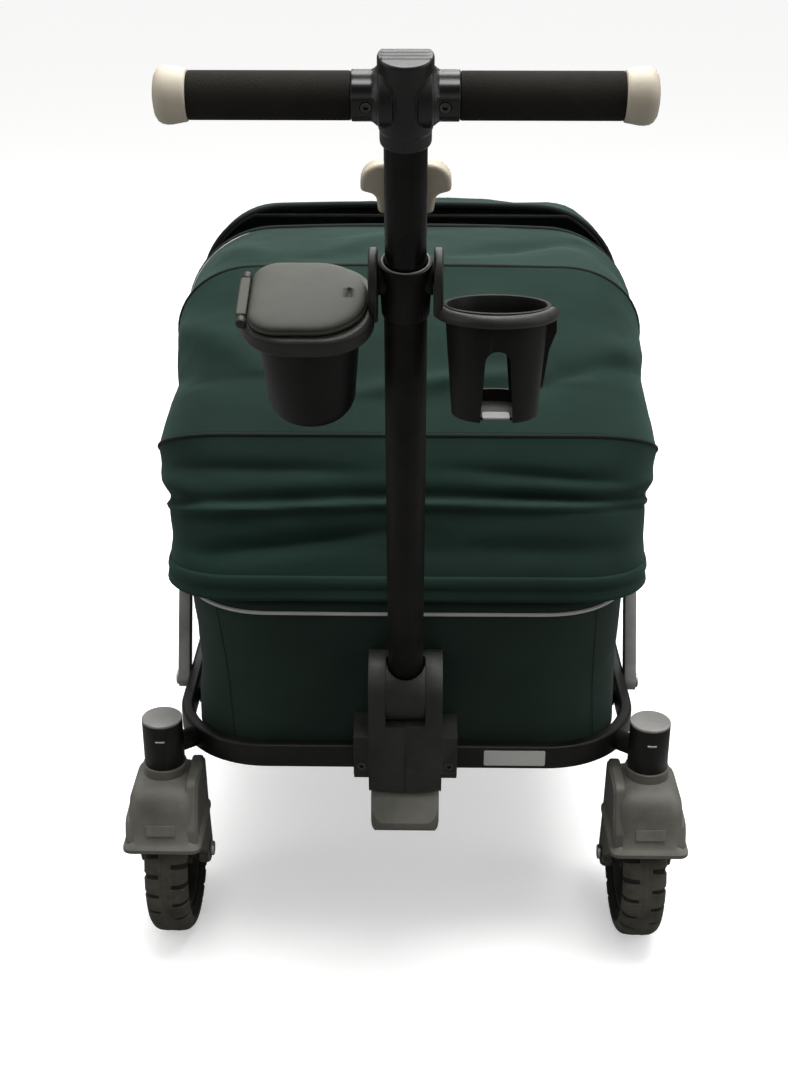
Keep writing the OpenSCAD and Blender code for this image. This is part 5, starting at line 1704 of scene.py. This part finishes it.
def make_floor_pad():
    low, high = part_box("floor_pad")
    half_x, half_y = (high.x - low.x) / 2, (high.y - low.y) / 2
    centre = (low + high) / 2
    across, along = 60, 90
    channel = 2 * half_y / 5
    top, bottom = [], []
    for j in range(along + 1):
        for i in range(across + 1):
            u, v = 2 * i / across - 1, 2 * j / along - 1
            x, y = u * half_x, v * half_y
            edge_x, edge_y = half_x - abs(x), half_y - abs(y)
            rim = 0.011
            fall = min(1.0, edge_x / rim, edge_y / rim)
            crown = math.sqrt(max(0.0, 1 - (1 - fall) ** 2))
            seam = abs(math.sin(math.pi * (y + half_y) / channel)) ** 0.35
            middle = min(1.0, abs(x) / 0.010) ** 0.5
            puff = min(seam, middle) if min(edge_x, edge_y) > 0.002 else seam
            rough = 0.0006 * crumple(Vector((x, y, 0)), 18, 3)
            height = centre.z + (0.0085 * crown) * (0.80 + 0.20 * puff) + rough * crown
            pull = 1 - 0.004 * (1 - crown)
            a, b = abs(x) - (half_x - PAD_CORNER), abs(y) - (half_y - PAD_CORNER)
            if a > 0 and b > 0:
                inward = max(a, b) / math.hypot(a, b)
                x = math.copysign(half_x - PAD_CORNER + a * inward, x)
                y = math.copysign(half_y - PAD_CORNER + b * inward, y)
            top.append((centre.x + x * pull, centre.y + y * pull, height))
            bottom.append((centre.x + x * pull, centre.y + y * pull,
                           max(low.z + 0.0003, centre.z - 0.0095 * crown)))
    row = across + 1
    faces = []
    shift = len(top)
    for j in range(along):
        for i in range(across):
            a = j * row + i
            faces.append((a, a + 1, a + row + 1, a + row))
            faces.append((shift + a, shift + a + row, shift + a + row + 1, shift + a + 1))
    border = ([i for i in range(across + 1)] + [j * row + across for j in range(1, along + 1)]
              + [along * row + i for i in range(across - 1, -1, -1)]
              + [j * row for j in range(along - 1, 0, -1)])
    for a, b in zip(border, border[1:] + border[:1]):
        faces.append((a, shift + a, shift + b, b))
    pad = recalculate(new_piece("floor_pad_finished", top + bottom, faces, pad_cloth))
    layer = pad.data.uv_layers.new(name="cloth")
    for loop in pad.data.loops:
        point = pad.data.vertices[loop.vertex_index].co
        layer.data[loop.index].uv = (point.x, point.y)
    return pad


floor_pad = make_floor_pad()
finish(floor_pad, "floor_pad", "base", "pad_fabric")
print("floor pad made")

# %% [markdown]
# ## Small details on the base
#
# Each post has a short bright slot near its top, bent to the post's round side, and the ring's front
# carries a blank plate. Neither is in the frame, so they are thin plates laid on it.

# %% Post slots and plate
POST_RADIUS = 0.0235
SLIT_HALF, SLIT_LOW, SLIT_HIGH = 0.0055, 0.2895, 0.2917
details = []
for side_x in (-1, 1):
    for side_y, facing in ((-1, -1), (1, 1)):
        x, y = side_x * POST_X, (joint("caster_swivel_left")["pos_m"][1] if side_y < 0 else REAR_Y)
        bend = [(math.sin(u / POST_RADIUS) * (POST_RADIUS + 0.0002),
                 -math.cos(u / POST_RADIUS) * (POST_RADIUS + 0.0002)) for u in
                [SLIT_HALF * k / 4 for k in range(-4, 5)]]
        inner = [(px * 0.97, py * 0.97) for px, py in reversed(bend)]
        outline = [(px, -facing * py) for px, py in bend + inner]
        details.append(plate("slit", outline, SLIT_LOW, SLIT_HIGH, hard["zinc"], moved(x, y, 0),
                             edge=0))
slits = joined("post_slits", details)
finish(slits, None, "base", "steel_zinc")

RING_FRONT = RING_LOW.y
RING_MIDDLE = (RING_LOW.z + RING_HIGH.z) / 2
plate_shape = rounded([(0.162, 0.0095, 0.002), (0.162, -0.0105, 0.002), (0.091, -0.0105, 0.002),
                       (0.091, 0.0095, 0.002)])
blank_plate = plate("blank_plate", plate_shape, -0.0002, 0.0006, piping,
                    moved(0, RING_FRONT, RING_MIDDLE + 0.001)
                    @ STAND_UP, edge=0.0002, segments=1)
finish(blank_plate, None, "base", "lid_grey")
print("base details made")

# %% [markdown]
# The two halves of the hinge housing stand apart below the pole. An apron closes the gap in front, with
# a thin dark parting line down its middle.

# %% Housing apron
APRON_HALF, APRON_TOP, APRON_LOW = 0.0388, 0.2935, 0.2645
low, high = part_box("hinge_housing_left")
apron_shape = [(APRON_HALF, APRON_TOP), (-APRON_HALF, APRON_TOP)]
apron_shape += [(APRON_HALF * k / 10, APRON_LOW - 0.004 * (1 - (k / 10) ** 2))
                for k in range(-10, 11)]
apron = plate("housing_apron", apron_shape, -low.y - 0.0024, -low.y - 0.0001,
              hard["housing_plastic"], STAND_UP, edge=0.0007)
seam_line = plate("housing_seam", [(0.0003, 0.2610), (0.0003, 0.3250), (-0.0003, 0.3250),
                                   (-0.0003, 0.2610)], -low.y - 0.0003, -low.y + 0.0001,
                  hard["gloss_tube"], STAND_UP, edge=0)
finish(joined("housing_apron", [apron, seam_line]), None, "base", "housing_plastic")
print("housing apron made")

# %% [markdown]
# The accessory collar ends in a thin raised lip round the pole. A closed tube along a circle makes it,
# coloured pale grey as a painted highlight on the rim.

# %% Collar lip with a painted highlight
COLLAR_TOP = 0.562
LIP_RADIUS = 0.0205
lip_path = [(LIP_RADIUS * math.cos(math.radians(a)), LIP_RADIUS * math.sin(math.radians(a)),
             COLLAR_TOP + 0.0004) for a in range(0, 360, 5)]
# The lip is pale grey on the black collar: a painted highlight along the rim's edge.
lip = tube("collar_lip", lip_path, 0.0009, hard["cap_plastic"], closed=True, sides=8)
lip.data.transform(pole_place)
finish(lip, None, "handle", "black_plastic")
print("collar lip made")

# %% [markdown]
# ## Stitching
#
# Stitches are short threads set along a seam at an even pitch. One geometry node tree lays them along
# any line of points.

# %% Stitch tree
def make_stitch_tree():
    tree = bpy.data.node_groups.new("stitch_line", "GeometryNodeTree")
    face = tree.interface
    face.new_socket("Geometry", in_out="OUTPUT", socket_type="NodeSocketGeometry")
    for name, kind in (("Geometry", "Geometry"), ("Pitch", "Float"), ("Length", "Float"),
                       ("Radius", "Float"), ("Finish", "Material")):
        face.new_socket(name, in_out="INPUT", socket_type="NodeSocket" + kind)
    given = tree.nodes.new("NodeGroupInput")
    result = tree.nodes.new("NodeGroupOutput")
    curve = link_new(tree, "GeometryNodeMeshToCurve", Mesh=given.outputs["Geometry"])
    spaced = tree.nodes.new("GeometryNodeCurveToPoints")
    spaced.mode = "LENGTH"
    tree.links.new(curve.outputs[0], spaced.inputs["Curve"])
    tree.links.new(given.outputs["Pitch"], spaced.inputs["Length"])
    thread = tree.nodes.new("GeometryNodeMeshCylinder")
    thread.inputs["Vertices"].default_value = 6
    tree.links.new(given.outputs["Radius"], thread.inputs["Radius"])
    tree.links.new(given.outputs["Length"], thread.inputs["Depth"])
    lay = tree.nodes.new("FunctionNodeAlignRotationToVector")
    lay.axis = "Z"
    tree.links.new(spaced.outputs["Tangent"], lay.inputs["Vector"])
    repeat = link_new(tree, "GeometryNodeInstanceOnPoints", Points=spaced.outputs["Points"],
                      Instance=thread.outputs["Mesh"], Rotation=lay.outputs[0])
    real = link_new(tree, "GeometryNodeRealizeInstances", Geometry=repeat.outputs[0])
    painted = link_new(tree, "GeometryNodeSetMaterial", Geometry=real.outputs[0],
                       Material=given.outputs["Finish"])
    tree.links.new(painted.outputs[0], result.inputs[0])
    return tree


stitch_tree = make_stitch_tree()


def stitch(name, path, body, pitch=0.0052, length=0.0036, radius=0.00045):
    mesh = bpy.data.meshes.new(name)
    mesh.from_pydata([tuple(p) for p in path], [(i, i + 1) for i in range(len(path) - 1)], [])
    line = bpy.data.objects.new(name, mesh)
    bpy.context.scene.collection.objects.link(line)
    run_tree(line, stitch_tree, {"Pitch": pitch, "Length": length, "Radius": radius,
                                 "Finish": thread_finish})
    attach(line, body)
    return line


# %% Basket seams
SEAM_X = 0.217
seam_columns = []
for face_side in (-1, 1):
    for seam_x in (-SEAM_X, SEAM_X):
        column = min(range(len(walls_grid[0]) - 1), key=lambda k: (
            (walls_grid[-1][k][0].x - seam_x) ** 2
            + (0 if (walls_grid[-1][k][0].y - MIDDLE_Y) * face_side > 0 else 1)))
        seam_columns.append((face_side, column))
for number, (face_side, column) in enumerate(seam_columns):
    path = [row[column][0] + Vector((0, face_side * (row[column][1] + 0.0004), 0))
            for row in walls_grid[4:-1]]
    seam = stitch(f"basket_seam_{number}", path, "base")
    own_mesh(seam)
print("stitched", len(seam_columns), "basket seams")
